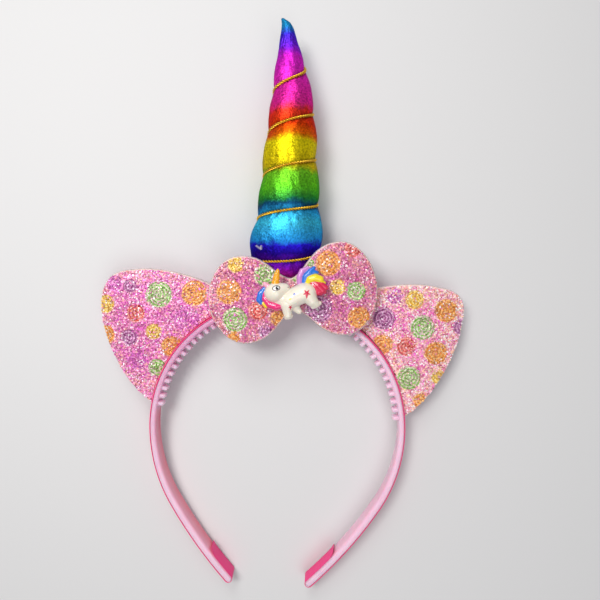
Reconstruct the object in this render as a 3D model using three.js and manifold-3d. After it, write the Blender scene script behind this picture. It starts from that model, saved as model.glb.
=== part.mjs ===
// A child's unicorn headband, lying on its back as it is put down on a table.
// Millimetres, +Z up. The pieces are drawn in the band's own frame: the origin is the centre of
// the crown's arc, +X is the wearer's left, +Y runs up the horn and +Z faces forward. The whole
// is then tipped onto the points it rests on and set down with its footprint centred on the origin.
import * as THREE from 'three';
import { mergeVertices } from 'three/addons/utils/BufferGeometryUtils.js';
import Module from 'manifold-3d';

// Driving dimensions.
const GAP = 0.3; // left between two pieces that touch
const REST_TILT = 3.12; // degrees the stuffed horn lifts the crown off the table

const BAND_WIDTH = 9;
const BAND_THICKNESS = 2.2;
const BAND_EDGE = 0.5; // chamfer on the band's long edges
const CROWN_RADIUS = 59.1; // to the middle of the plastic
const ARC_STEP = 4; // degrees between two sections of the band
// Each arm is a run of tangent arcs, from the top of the crown down to the tip.
const LEFT_ARM = [
  { radius: CROWN_RADIUS, sweep: 89 },
  { radius: 75, sweep: 30 },
  { radius: 242, sweep: 10.8 },
];
const RIGHT_ARM = [
  { radius: CROWN_RADIUS, sweep: 84 },
  { radius: 69, sweep: 40 },
  { radius: 206, sweep: 13 },
];

// The rounding of a tip: how far past its end each section lies, and what is left of the plastic there.
const TIP_SECTIONS = [
  { past: 0.5, thickness: 2, width: 8.6 },
  { past: 0.9, thickness: 1.4, width: 7.7 },
  { past: 1.1, thickness: 0.6, width: 7 },
];

const TOOTH_PITCH = 3.8;
const TEETH_LEFT = 21; // teeth on each side of the one at the top of the crown
const TEETH_RIGHT = 23;
const TOOTH_SINK = 0.5;
// A tooth's sections, from inside the plastic out to the blunt tip.
const TOOTH_SECTIONS = [
  { height: -TOOTH_SINK, along: 2.7, across: 5.6 },
  { height: 2, along: 2.1, across: 4.8 },
  { height: 2.6, along: 1.2, across: 3.8 },
];

const RIBBON_WIDTH = 8.6;
const RIBBON_THICKNESS = 1;
const RIBBON_TAB = 16; // length of the end folded onto the inner face
const RIBBON_OUTER = CROWN_RADIUS + BAND_THICKNESS / 2 + GAP + RIBBON_THICKNESS;
const SEAT_RADIUS = RIBBON_OUTER + GAP; // where the ears and the horn sit on the ribbon

const PAD_RIM = 1.4; // thickness of the glued rim of a pad
const PAD_SEGMENTS = 7; // steps along each curve of a pad's outline
const PAD_RINGS = [0.5, 0.8, 0.94, 1]; // shares of the way from a pad's middle to its outline
const EAR_BASE_HALF = 31.5; // half the width that is glued to the ribbon
const EAR_TIP = 107; // from the centre of the crown's arc
const EAR_SHOULDER = { x: 9.6, y: 102.3 };
const EAR_SIDE = { low: { x: 33, y: 66 }, high: { x: 23.5, y: 91 } }; // what the curve of a side leans on
const EAR_SWELL = { front: 2.8, back: 2.4, fullness: 5 }; // stuffing in front of and behind the middle
const EARS = [
  { name: 'ear_left', turn: 48.2 },
  { name: 'ear_right', turn: -54.8 },
];

const BOW_CENTRE = { x: 7.6, y: 64 };
const BOW_TURN = 6.7;
const BOW_HALF_LENGTH = 38.8;
const BOW_LOBE = { x: 23, y: 20.2, inner: 9.7, outer: 32 }; // highest point of a lobe, and its roundness
const BOW_NECK = 7.4; // half the height of the pinched middle
const BOW_NECK_REACH = { x: 7, y: 8.8 }; // how far the neck runs out before it opens into a lobe
const BOW_NECK_OVERLAP = 3;
const BOW_SWELL = { front: 4.4, back: 3, fullness: 3.4 };
const BOW_BACK = 7.3; // height of the back of the lobes

const HORN_FOOT_SINK = 12; // drawn this far past the crown before the saddle is cut
const HORN_SIDES = 26;
const HORN_RINGS = 68;
// The horn's sections, by height above the ribbon. It is flattened at the foot and leans aside.
const HORN_SECTIONS = [
  { up: -HORN_FOOT_SINK, half: 14, depth: 5.4, lean: 5 },
  { up: 0, half: 15.8, depth: 6.4, lean: 5 },
  { up: 14, half: 17.3, depth: 8.8, lean: 5.1 },
  { up: 28, half: 17.1, depth: 12.2, lean: 5.3 },
  { up: 46, half: 15.1, depth: 14.6, lean: 6 },
  { up: 66, half: 12.9, depth: 12.9, lean: 6.8 },
  { up: 85, half: 10.9, depth: 10.9, lean: 7.6 },
  { up: 100, half: 8.9, depth: 8.9, lean: 8 },
  { up: 113, half: 6.1, depth: 6.1, lean: 7.2 },
  { up: 123, half: 3.5, depth: 3.5, lean: 5.8 },
  { up: 129.4, half: 0.8, depth: 0.8, lean: 3.8 },
];
const CORD_DIAMETER = 1.3;
const CORD_SIDES = 6;
const CORD_STEPS_PER_TURN = 20;
const CORD_TURNS = { first: -0.1, last: 4.6 }; // it ends behind the tip
const CORD_START = 17.4; // height of the first crossing on the horn's front
const CORD_PITCH = 22.2;
const CORD_CLOSING = 0.5; // the pitch shortens by this much per turn, twice over
const GROOVE_SHARE = 0.16; // depth of the groove the cord pulls, as a share of the half width
const GROOVE_ROUNDING = 0.85; // how round the puffs between two turns are
const GROOVE_RUN_OUT = 0.5; // turns past the end of the cord over which the groove runs out
const FACET_PROUD = 0.45; // the horn's facets stand this much proud of its groove

const CHARM_BACK = BOW_BACK + BOW_SWELL.back + BOW_SWELL.front + GAP;
const CHARM_SIDES = 8;
// The charm's limbs, each two balls joined up: place from the bow's centre, radius, and height.
const CHARM_LIMBS = [
  { limb: 'head', balls: [{ x: -7.6, y: 0.8, r: 4.9, z: 2.6 }, { x: -3.6, y: 2.6, r: 2.7, z: 2.2 }] },
  { limb: 'horn', balls: [{ x: -7.3, y: 5, r: 1.7, z: 2.4 }, { x: -6.3, y: 11.2, r: 0.5, z: 2 }] },
  { limb: 'ear', balls: [{ x: -10.8, y: 4, r: 1.6, z: 2 }, { x: -12.7, y: 5.7, r: 0.6, z: 2 }] },
  { limb: 'neck', balls: [{ x: -6, y: -2, r: 3.6, z: 1.2 }, { x: -1, y: -3.2, r: 4, z: 1.2 }] },
  { limb: 'body', balls: [{ x: -1, y: -2.6, r: 4.3, z: 1.6 }, { x: 5.6, y: 0.6, r: 4.7, z: 1.6 }] },
  { limb: 'mane_front', balls: [{ x: -11.8, y: 3, r: 1.5, z: 2.2 }, { x: -14, y: -2.2, r: 1.9, z: 1.6 }] },
  { limb: 'mane_back', balls: [{ x: -11.6, y: -3, r: 2.3, z: 1.2 }, { x: -6.6, y: -6, r: 1.7, z: 1 }] },
  { limb: 'hind_leg', balls: [{ x: 7, y: -1, r: 2.8, z: 1.6 }, { x: 11.2, y: -4, r: 1.9, z: 1.4 }] },
  { limb: 'fore_leg', balls: [{ x: -2, y: -5, r: 2.5, z: 1.6 }, { x: -0.8, y: -9.8, r: 1.7, z: 1.4 }] },
  { limb: 'far_leg', balls: [{ x: 0.8, y: -5, r: 2.2, z: 0.8 }, { x: 2.6, y: -8, r: 1.6, z: 0.8 }] },
  { limb: 'tail_root', balls: [{ x: 4.2, y: 4.4, r: 1.6, z: 1 }, { x: 4, y: 8.6, r: 1.9, z: 1 }] },
  { limb: 'tail_rise', balls: [{ x: 4, y: 8.6, r: 1.9, z: 1 }, { x: 8.4, y: 10.6, r: 2.1, z: 1 }] },
  { limb: 'tail_fall', balls: [{ x: 8.4, y: 10.6, r: 2.1, z: 1 }, { x: 13, y: 6.4, r: 2.1, z: 1 }] },
  { limb: 'tail_end', balls: [{ x: 13, y: 6.4, r: 2.1, z: 1 }, { x: 12.8, y: 2, r: 1.6, z: 1 }] },
];

const FINISHES = {
  plastic: { color: 0xe9b4d2, roughness: 0.35, metalness: 0 },
  satin: { color: 0xec3f8c, roughness: 0.4, metalness: 0 },
  glitter: { color: 0xee8fc0, roughness: 0.5, metalness: 0.2 },
  foil: { color: 0xb02bd0, roughness: 0.25, metalness: 0.8 },
  gold: { color: 0xd9a62e, roughness: 0.3, metalness: 1 },
  resin: { color: 0xf4f0f2, roughness: 0.25, metalness: 0 },
};

const wasm = await Module();
wasm.setup();

const radians = THREE.MathUtils.degToRad;

// Turns a closed geometry into a solid that can be joined and cut.
function toSolid(geometry) {
  const bare = geometry.clone();
  bare.deleteAttribute('normal');
  bare.deleteAttribute('uv');
  const merged = mergeVertices(bare, 1e-4);
  return new wasm.Manifold(new wasm.Mesh({
    numProp: 3,
    vertProperties: new Float32Array(merged.attributes.position.array),
    triVerts: new Uint32Array(merged.index.array),
  }));
}

// Turns a solid back into a geometry.
function toGeometry(solid) {
  const mesh = solid.getMesh();
  const geometry = new THREE.BufferGeometry();
  geometry.setAttribute('position', new THREE.BufferAttribute(mesh.vertProperties, 3));
  geometry.setIndex(new THREE.BufferAttribute(mesh.triVerts, 1));
  geometry.computeVertexNormals();
  return geometry;
}

// Skins a run of rings, all with the same number of points, and closes both ends with a fan.
// Seen from the first ring towards the last, each ring runs counter-clockwise.
function skin(rings) {
  const sides = rings[0].length;
  const points = rings.flat();
  const index = [];
  for (let row = 0; row + 1 < rings.length; row += 1) {
    for (let side = 0; side < sides; side += 1) {
      const next = (side + 1) % sides;
      const a = row * sides + side;
      const b = row * sides + next;
      index.push(a, a + sides, b, b, a + sides, b + sides);
    }
  }
  [0, rings.length - 1].forEach((row, end) => {
    const ring = rings[row];
    const middle = new THREE.Vector3();
    ring.forEach((point) => middle.addScaledVector(point, 1 / sides));
    const hub = points.push(middle) - 1;
    for (let side = 0; side < sides; side += 1) {
      const a = row * sides + side;
      const b = row * sides + (side + 1) % sides;
      index.push(...(end === 0 ? [hub, a, b] : [hub, b, a]));
    }
  });
  const geometry = new THREE.BufferGeometry().setFromPoints(points);
  geometry.setIndex(index);
  geometry.computeVertexNormals();
  return geometry;
}

function makePiece(name, geometry, finish) {
  const mesh = new THREE.Mesh(geometry, new THREE.MeshStandardMaterial(finish));
  mesh.name = name;
  return mesh;
}

// Stations along one arm, from the top of the crown to the tip: the point on the middle of the
// plastic, and the heading in degrees turned clockwise from +X. side is -1 for the left arm.
function armStations(arcs, side) {
  const stations = [];
  let heading = 0;
  let point = new THREE.Vector2(0, CROWN_RADIUS);
  arcs.forEach(({ radius, sweep }) => {
    const centre = point.clone().addScaledVector(outwardAt(heading), -radius);
    const steps = Math.ceil(sweep / ARC_STEP);
    for (let step = 0; step < steps; step += 1) {
      const angle = heading + sweep * step / steps;
      stations.push({ point: centre.clone().addScaledVector(outwardAt(angle), radius), heading: angle });
    }
    heading += sweep;
    point = centre.clone().addScaledVector(outwardAt(heading), radius);
  });
  stations.push({ point, heading });
  return stations.map((station) => ({
    point: new THREE.Vector2(station.point.x * side, station.point.y),
    heading: station.heading * side,
  }));
}

// The direction away from the head where the arm heads this way.
function outwardAt(heading) {
  return new THREE.Vector2(Math.sin(radians(heading)), Math.cos(radians(heading)));
}

function forwardAt(heading) {
  return new THREE.Vector2(Math.cos(radians(heading)), -Math.sin(radians(heading)));
}

// Stations along the whole band, from the left tip over the crown to the right tip.
function bandStations() {
  const left = armStations(LEFT_ARM, -1).reverse();
  return [...left, ...armStations(RIGHT_ARM, 1).slice(1)];
}

// A ring of the band or ribbon at a station: corners given as outward offset and height.
function ringAt({ point, heading }, corners) {
  const outward = outwardAt(heading);
  return corners.map(([offset, height]) => new THREE.Vector3(
    point.x + outward.x * offset,
    point.y + outward.y * offset,
    height,
  ));
}

function bandCorners(thickness, width) {
  const t = thickness / 2;
  const w = width / 2;
  const edge = Math.min(BAND_EDGE, t / 2);
  return [
    [t, -w + edge], [t - edge, -w], [-t + edge, -w], [-t, -w + edge],
    [-t, w - edge], [-t + edge, w], [t - edge, w], [t, w - edge],
  ];
}

// The moulded band: a strip that rounds off at both tips, with comb teeth on its inner face.
function makeBand() {
  const stations = bandStations();
  const noseRings = ({ point, heading }, direction) => TIP_SECTIONS.map(({ past, thickness, width }) => {
    const ahead = point.clone().addScaledVector(forwardAt(heading), direction * past);
    return ringAt({ point: ahead, heading }, bandCorners(thickness, width));
  });
  const rings = [
    ...noseRings(stations[0], -1).reverse(),
    ...stations.map((station) => ringAt(station, bandCorners(BAND_THICKNESS, BAND_WIDTH))),
    ...noseRings(stations.at(-1), 1),
  ];
  let solid = toSolid(skin(rings));
  for (let tooth = -TEETH_LEFT; tooth <= TEETH_RIGHT; tooth += 1) {
    const heading = THREE.MathUtils.radToDeg(tooth * TOOTH_PITCH / CROWN_RADIUS);
    solid = solid.add(toSolid(makeTooth(heading)));
  }
  return makePiece('band', toGeometry(solid), FINISHES.plastic);
}

// One blunt tooth on the crown's inner face.
function makeTooth(heading) {
  const outward = outwardAt(heading);
  const along = forwardAt(heading);
  const foot = CROWN_RADIUS - BAND_THICKNESS / 2;
  return skin(TOOTH_SECTIONS.map((section) => {
    const middle = outward.clone().multiplyScalar(foot - section.height);
    const corners = [[-1, -1], [-1, 1], [1, 1], [1, -1]];
    return corners.map(([a, b]) => new THREE.Vector3(
      middle.x + along.x * a * section.along / 2,
      middle.y + along.y * a * section.along / 2,
      b * section.across / 2,
    ));
  }));
}

// The satin ribbon: along the outer face, round each tip and back along the inner face as a tab.
function makeRibbon() {
  const stations = bandStations();
  const near = BAND_THICKNESS / 2 + GAP;
  const far = near + RIBBON_THICKNESS;
  const half = RIBBON_WIDTH / 2;
  const corners = [[far, -half], [near, -half], [near, half], [far, half]];
  const turnSteps = 6;
  const wrap = ({ point, heading }, direction) => {
    const rings = [];
    for (let step = 1; step <= turnSteps; step += 1) {
      const turned = heading + direction * 180 * step / turnSteps;
      rings.push(ringAt({ point, heading: turned }, corners));
    }
    return rings;
  };
  const tab = (list, direction) => {
    let length = 0;
    const rings = [];
    for (let i = 1; i < list.length && length < RIBBON_TAB; i += 1) {
      const step = list[i].point.distanceTo(list[i - 1].point);
      const share = Math.min(1, (RIBBON_TAB - length) / step);
      const point = list[i - 1].point.clone().lerp(list[i].point, share);
      const heading = THREE.MathUtils.lerp(list[i - 1].heading, list[i].heading, share);
      rings.push(ringAt({ point, heading: heading + direction * 180 }, corners));
      length += step * share;
    }
    return rings;
  };
  const rightToLeft = [...stations].reverse();
  const rings = [
    ...[...wrap(stations[0], -1), ...tab(stations, -1)].reverse(),
    ...stations.map((station) => ringAt(station, corners)),
    ...wrap(stations.at(-1), 1),
    ...tab(rightToLeft, 1),
  ];
  return makePiece('ribbon', skin(rings), FINISHES.satin);
}

// A stuffed pad: its outline drawn in towards a centre in rings that swell to the front and the back.
function makePillow(shape, centre, { front, back, fullness }) {
  const outline = shape.getPoints(PAD_SEGMENTS).slice(0, -1);
  const ringAtShare = (share, height) => outline.map((point) => new THREE.Vector3(
    centre.x + (point.x - centre.x) * share,
    centre.y + (point.y - centre.y) * share,
    height,
  ));
  const swell = (share) => Math.sqrt(1 - share ** fullness);
  const rim = PAD_RIM / 2;
  const outwards = PAD_RINGS;
  const inwards = PAD_RINGS.toReversed();
  return skin([
    ...outwards.map((share) => ringAtShare(share, rim + (front - rim) * swell(share))),
    ...inwards.map((share) => ringAtShare(share, -rim - (back - rim) * swell(share))),
  ]);
}

// An ear: a rounded leaf whose foot follows the ribbon.
function earShape() {
  const half = EAR_BASE_HALF;
  const shoulder = EAR_SHOULDER;
  const { low, high } = EAR_SIDE;
  const footAngle = Math.asin(half / SEAT_RADIUS);
  const footY = SEAT_RADIUS * Math.cos(footAngle);
  const crown = EAR_TIP + (EAR_TIP - shoulder.y) / 3; // lifts the tip's curve to its full height
  const shape = new THREE.Shape();
  shape.moveTo(half, footY);
  shape.bezierCurveTo(low.x, low.y, high.x, high.y, shoulder.x, shoulder.y);
  shape.bezierCurveTo(shoulder.x / 3, crown, -shoulder.x / 3, crown, -shoulder.x, shoulder.y);
  shape.bezierCurveTo(-high.x, high.y, -low.x, low.y, -half, footY);
  shape.absarc(0, 0, SEAT_RADIUS, Math.PI / 2 + footAngle, Math.PI / 2 - footAngle, true);
  return shape;
}

function makeEars() {
  const centre = new THREE.Vector2(0, (SEAT_RADIUS + EAR_TIP) / 2);
  return EARS.map(({ name, turn }) => {
    const ear = makePiece(name, makePillow(earShape(), centre, EAR_SWELL), FINISHES.glitter);
    ear.rotation.z = radians(turn);
    return ear;
  });
}

// One lobe of the bow, from the neck out along +X.
function lobeShape() {
  const { x, y, inner, outer } = BOW_LOBE;
  const end = BOW_HALF_LENGTH;
  const reach = BOW_NECK_REACH;
  const shape = new THREE.Shape();
  shape.moveTo(-BOW_NECK_OVERLAP, -BOW_NECK);
  shape.bezierCurveTo(reach.x, -reach.y, inner, -y, x, -y);
  shape.bezierCurveTo(outer, -y, end, -y / 2, end, 0);
  shape.bezierCurveTo(end, y / 2, outer, y, x, y);
  shape.bezierCurveTo(inner, y, reach.x, reach.y, -BOW_NECK_OVERLAP, BOW_NECK);
  shape.lineTo(-BOW_NECK_OVERLAP, -BOW_NECK);
  return shape;
}

// The bow: two stuffed lobes run together at the pinched neck, in front of the horn's foot.
function makeBow() {
  const centre = new THREE.Vector2(BOW_LOBE.x, 0);
  const lobe = makePillow(lobeShape(), centre, BOW_SWELL);
  const solid = toSolid(lobe).add(toSolid(lobe.clone().rotateZ(Math.PI)));
  const bow = makePiece('bow', toGeometry(solid), FINISHES.glitter);
  bow.rotation.z = radians(BOW_TURN);
  bow.position.set(BOW_CENTRE.x, BOW_CENTRE.y, BOW_BACK + BOW_SWELL.back);
  return bow;
}

// The horn's section at a height above the ribbon, read smoothly from its table.
function hornSection(up) {
  const rows = HORN_SECTIONS;
  const last = rows.length - 1;
  const at = Math.max(0, rows.findLastIndex((row) => row.up <= up));
  const i = Math.min(at, last - 1);
  const share = (up - rows[i].up) / (rows[i + 1].up - rows[i].up);
  const blend = (key) => {
    const slope = (k) => {
      const before = rows[Math.max(k - 1, 0)];
      const after = rows[Math.min(k + 1, last)];
      return (after[key] - before[key]) / (after.up - before.up);
    };
    const span = rows[i + 1].up - rows[i].up;
    const s2 = share * share;
    const s3 = s2 * share;
    return rows[i][key] * (2 * s3 - 3 * s2 + 1) + slope(i) * span * (s3 - 2 * s2 + share)
      + rows[i + 1][key] * (3 * s2 - 2 * s3) + slope(i + 1) * span * (s3 - s2);
  };
  return { half: blend('half'), depth: blend('depth'), lean: blend('lean') };
}

// Height of the cord after a number of turns, counted at the horn's front.
function cordHeight(turns) {
  return CORD_START + CORD_PITCH * turns - CORD_CLOSING * turns * turns;
}

// How many turns the cord has made where it is at this height.
function cordTurns(up) {
  const b = CORD_PITCH / 2;
  const rest = Math.max(0, b * b - CORD_CLOSING * (up - CORD_START));
  return (b - Math.sqrt(rest)) / CORD_CLOSING;
}

// A point on the horn. turn is the share of a turn from the front towards +X, and lift stands
// the point off the cloth. The cloth is pulled in along the cord and puffs out between its turns.
function hornPoint(up, turn, lift = 0) {
  const { half, depth, lean } = hornSection(up);
  const turns = cordTurns(up);
  const puff = Math.abs(Math.sin(Math.PI * (turns - turn))) ** GROOVE_ROUNDING;
  const { last } = CORD_TURNS;
  const wound = 1 - THREE.MathUtils.smoothstep(turns, last, last + GROOVE_RUN_OUT);
  const pulled = 1 - GROOVE_SHARE * (1 - puff) * wound;
  const angle = 2 * Math.PI * turn;
  return new THREE.Vector3(
    lean + (half * pulled + lift) * Math.sin(angle),
    SEAT_RADIUS + up,
    (depth * pulled + lift) * Math.cos(angle),
  );
}

// The stuffed horn, with its foot cut to a saddle that sits on the ribbon.
function makeHorn() {
  const bottom = HORN_SECTIONS[0].up;
  const top = HORN_SECTIONS.at(-1).up;
  const rings = [];
  for (let ring = 0; ring <= HORN_RINGS; ring += 1) {
    const up = bottom + (top - bottom) * ring / HORN_RINGS;
    const points = [];
    for (let side = 0; side < HORN_SIDES; side += 1) {
      points.push(hornPoint(up, -side / HORN_SIDES));
    }
    rings.push(points);
  }
  const saddleSides = 96;
  const saddleLength = 60;
  const saddle = new THREE.CylinderGeometry(SEAT_RADIUS, SEAT_RADIUS, saddleLength, saddleSides);
  saddle.rotateX(Math.PI / 2);
  const solid = toSolid(skin(rings)).subtract(toSolid(saddle));
  return makePiece('horn', toGeometry(solid), FINISHES.foil);
}

// The twisted cord, wound up the horn in its groove.
function makeCord() {
  const radius = CORD_DIAMETER / 2;
  const clear = radius + GAP + FACET_PROUD;
  const { first, last } = CORD_TURNS;
  const steps = Math.round((last - first) * CORD_STEPS_PER_TURN);
  const route = [];
  for (let step = 0; step <= steps; step += 1) {
    const turns = first + (last - first) * step / steps;
    route.push(hornPoint(cordHeight(turns), turns, clear));
  }
  const rings = route.map((point, i) => {
    const before = route[Math.max(i - 1, 0)];
    const after = route[Math.min(i + 1, steps)];
    const tangent = after.clone().sub(before).normalize();
    const axis = new THREE.Vector3(hornSection(point.y - SEAT_RADIUS).lean, point.y, 0);
    const off = point.clone().sub(axis);
    const away = off.addScaledVector(tangent, -off.dot(tangent)).normalize();
    const beside = tangent.clone().cross(away);
    const ring = [];
    for (let side = 0; side < CORD_SIDES; side += 1) {
      const angle = 2 * Math.PI * side / CORD_SIDES;
      ring.push(point.clone()
        .addScaledVector(away, radius * Math.cos(angle))
        .addScaledVector(beside, -radius * Math.sin(angle)));
    }
    return ring;
  });
  return makePiece('horn_cord', skin(rings), FINISHES.gold);
}

// One limb of the charm: two balls and the taper between them.
function makeLimb([from, to]) {
  const start = new THREE.Vector3(from.x, from.y, from.z);
  const end = new THREE.Vector3(to.x, to.y, to.z);
  const length = end.distanceTo(start);
  const caps = 3;
  const profile = [];
  for (let step = 0; step <= caps; step += 1) {
    const angle = Math.PI / 2 * step / caps;
    profile.push(new THREE.Vector2(from.r * Math.sin(angle), -from.r * Math.cos(angle)));
  }
  for (let step = 0; step <= caps; step += 1) {
    const angle = Math.PI / 2 * step / caps;
    profile.push(new THREE.Vector2(to.r * Math.cos(angle), length + to.r * Math.sin(angle)));
  }
  const geometry = new THREE.LatheGeometry(profile, CHARM_SIDES);
  const aim = new THREE.Quaternion().setFromUnitVectors(
    new THREE.Vector3(0, 1, 0),
    end.clone().sub(start).normalize(),
  );
  return geometry.applyQuaternion(aim).translate(start.x, start.y, start.z);
}

// The cast unicorn: its limbs run together, cut flat where it is glued to the bow.
function makeCharm() {
  const limbs = CHARM_LIMBS.map(({ balls }) => toSolid(makeLimb(balls)));
  const figure = limbs.reduce((joined, limb) => joined.add(limb));
  const cutSize = 60;
  const below = new THREE.BoxGeometry(cutSize, cutSize, cutSize).translate(0, 0, -cutSize / 2);
  const cast = figure.subtract(toSolid(below));
  const charm = makePiece('unicorn_charm', toGeometry(cast), FINISHES.resin);
  charm.position.set(BOW_CENTRE.x, BOW_CENTRE.y, CHARM_BACK);
  return charm;
}

// Tip the headband onto its rest, then centre its footprint and set it on the table.
const headband = new THREE.Group();
headband.add(makeBand(), makeRibbon(), ...makeEars(), makeHorn(), makeCord(), makeBow(), makeCharm());
headband.rotation.x = radians(REST_TILT);

const tiara = new THREE.Group();
tiara.add(headband);
tiara.updateMatrixWorld(true);
const box = new THREE.Box3().setFromObject(tiara, true);
const middle = box.getCenter(new THREE.Vector3());
headband.position.set(-middle.x, -middle.y, -box.min.z);

export default tiara;
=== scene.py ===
import math

import bmesh
import bpy
import numpy as np
from mathutils.geometry import delaunay_2d_cdt
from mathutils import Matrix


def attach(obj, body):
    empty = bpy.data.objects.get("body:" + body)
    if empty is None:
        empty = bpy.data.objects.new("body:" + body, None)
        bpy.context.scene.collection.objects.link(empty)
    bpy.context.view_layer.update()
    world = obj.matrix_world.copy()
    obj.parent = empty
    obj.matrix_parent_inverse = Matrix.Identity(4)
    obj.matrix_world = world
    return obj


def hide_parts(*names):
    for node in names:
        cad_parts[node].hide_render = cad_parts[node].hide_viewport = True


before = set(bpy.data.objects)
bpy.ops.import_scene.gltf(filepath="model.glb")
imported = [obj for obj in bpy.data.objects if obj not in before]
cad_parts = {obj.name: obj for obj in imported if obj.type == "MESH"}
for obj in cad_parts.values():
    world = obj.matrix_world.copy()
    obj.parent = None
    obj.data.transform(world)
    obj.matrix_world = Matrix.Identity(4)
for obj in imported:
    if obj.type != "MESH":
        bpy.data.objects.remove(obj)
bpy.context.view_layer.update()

# The headband lies on its back on a plain pale table and is seen straight down, from 230 mm above.
# A soft room light hangs to the upper left, a window stands above the picture and a wide ceiling light
# hangs below it, and the rest of the room fills the shadows.
PICTURE_SIDE = 600  # pixels
FOCAL_PIXELS = 450.6
SENSOR_SIDE = 36
VIEW_FROM = (0.0075, 0.0040, 0.228)
NEAREST_SEEN = 0.005
LAMPS = (
    # name, place, side of the lamp, watts, colour
    ("room_light", (-0.20, 0.15, 0.52), 0.2, 1.8, (1.0, 0.98, 0.95)),
    ("window", (-0.12, 0.55, 0.5), 0.3, 1.5, (1.0, 0.99, 0.97)),
    ("ceiling", (0.16, -0.4, 0.75), 0.6, 2.1, (0.98, 0.98, 1.0)),
)
ROOM_GLOW = 0.25
TABLE_COLOUR = (0.70, 0.70, 0.71, 1)
TABLE_ROUGHNESS = 0.7
TABLE_HALF = 2

scene = bpy.context.scene
scene.view_settings.view_transform = "Standard"

camera = bpy.data.objects.new("camera", bpy.data.cameras.new("camera"))
camera.data.sensor_width = SENSOR_SIDE
camera.data.lens = SENSOR_SIDE * FOCAL_PIXELS / PICTURE_SIDE
camera.data.clip_start = NEAREST_SEEN
camera.location = VIEW_FROM
scene.collection.objects.link(camera)
scene.camera = camera

for lamp_name, place, side, watts, colour in LAMPS:
    lamp = bpy.data.objects.new(lamp_name, bpy.data.lights.new(lamp_name, "AREA"))
    lamp.data.size = side
    lamp.data.energy = watts
    lamp.data.color = colour
    lamp.location = place
    lamp.rotation_euler = lamp.location.to_track_quat("Z", "Y").to_euler()
    scene.collection.objects.link(lamp)

scene.world = bpy.data.worlds.new("room")
scene.world.use_nodes = True
room = scene.world.node_tree.nodes["Background"]
room.inputs["Color"].default_value = (1, 1, 1, 1)
room.inputs["Strength"].default_value = ROOM_GLOW

table_mesh = bpy.data.meshes.new("table")
table_corners = [(x * TABLE_HALF, y * TABLE_HALF, 0) for x, y in ((-1, -1), (1, -1), (1, 1), (-1, 1))]
table_mesh.from_pydata(table_corners, [], [(0, 1, 2, 3)])
table = bpy.data.objects.new("table", table_mesh)
table_finish = bpy.data.materials.new("table_finish")
table_finish.use_nodes = True
table_shader = table_finish.node_tree.nodes["Principled BSDF"]
table_shader.inputs["Base Color"].default_value = TABLE_COLOUR
table_shader.inputs["Roughness"].default_value = TABLE_ROUGHNESS
table_mesh.materials.append(table_finish)
scene.collection.objects.link(table)

# The band is an injection-moulded hairband of pale pink plastic, a C that grips the head, with a row of
# blunt comb teeth on the inner face of its crown. Every other piece is glued to it. All pieces are drawn
# in its own frame, in millimetres from the centre of the crown's arc: +Y up the horn, +Z to the front.
CROWN_CENTRE = np.array((-0.00338, -0.05671, 0.00876))  # where that centre lies, in metres
REST_TILT = math.radians(3.12)  # the stuffed horn lifts the crown off the table
CROWN_RADIUS = 59.4  # to the middle of the plastic
# radius and sweep of each arc of an arm, from the crown to the tip
LEFT_ARM = ((CROWN_RADIUS, 88.5), (75.6, 30.2), (242.3, 10.95))
RIGHT_ARM = ((CROWN_RADIUS, 84), (69.3, 40), (206.3, 13.85))
ARC_STEP = 1.5  # degrees
BAND_THICK = 2.6
TIPS_THICKER = 0.8
THICKENS = (80, 125)  # degrees down each arm over which the plastic thickens
BAND_WIDE = 9.0
BAND_ROUNDING = 1.25
RIGHT_SPLAY = 0.085  # the back edge of the right arm stands out by this share of the width
SPLAYS = (65, 90)  # degrees down the right arm over which it starts to
TIP_ANGLES = (20, 40, 58, 74, 85)  # degrees round the end of a tip, one for each ring
TIP_THINNEST = 0.12  # the share of the thickness that is left at the very end
TIP_NARROWING = 1.2
WELD_DISTANCE = 0.000004
SHARPEST_SMOOTH = math.radians(50)
LEFT_PAINTED_SHADE = (0.76, 0.60, 0.73)  # painted shade: the plastic is darker and pinker on the left of the crown, as shade and the ear's pink reflection fell there
LEFT_SHADE_FADE = (45, 108)  # degrees down the left arm over which that goes
SIDE_FADE = 40.0  # degrees across the top of the crown over which it starts
TEETH_SHADE_SHARE = 0.3  # the share of it that the teeth have
SHOW_THROUGH_GLOW = (1.0, 0.32, 0.36)  # the ribbon's pink, seen through the plastic on the inner face below the teeth, with a painted glow of the light that shines through it
GLOW_SHARES = (1.0, 0.45)  # how much of it there is at the back of the left and of the right arm; the left's larger share is painted light
SHOW_IN_FRONT = 0.3  # the share of that by the front edge
SHOW_DEPTH = 0.55  # how far it reaches off the inner face
SHOW_FADE = 5.0  # degrees past the last tooth over which it starts
# a tooth, counted from the left, and where it stands on the crown, in degrees
TEETH = ((0, -78.6), (10, -40.0), (31, 41.5), (42, 85.9))
TOOTH_SIDES = 16
TOOTH_SQUARENESS = 4
TOOTH_FORWARD = 1.0
# height above the inner face, half length along the band, half width
TOOTH_RINGS = (
    (-0.7, 1.15, 2.8), (0.3, 1.1, 2.8), (1.5, 1.0, 2.7),
    (2.1, 0.95, 2.6), (2.32, 0.84, 2.45), (2.4, 0.6, 2.2),
)


def set_down(points):
    """Takes points from the headband's own millimetres to where it lies on the table, in metres."""
    x, y, z = np.asarray(points, float).reshape(-1, 3).T / 1000
    c, s = math.cos(REST_TILT), math.sin(REST_TILT)
    return np.stack((x, y * c - z * s, y * s + z * c), axis=1) + CROWN_CENTRE


def make_piece(name, points, faces, *materials):
    """A smooth mesh object at rest on the table, with its faces turned outwards."""
    mesh = bpy.data.meshes.new(name)
    mesh.from_pydata(set_down(points).tolist(), [], [list(face) for face in faces])
    shape = bmesh.new()
    shape.from_mesh(mesh)
    bmesh.ops.recalc_face_normals(shape, faces=shape.faces)
    shape.to_mesh(mesh)
    shape.free()
    mesh.shade_smooth()
    for material in materials:
        mesh.materials.append(material)
    piece = bpy.data.objects.new(name, mesh)
    scene.collection.objects.link(piece)
    return piece


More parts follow.
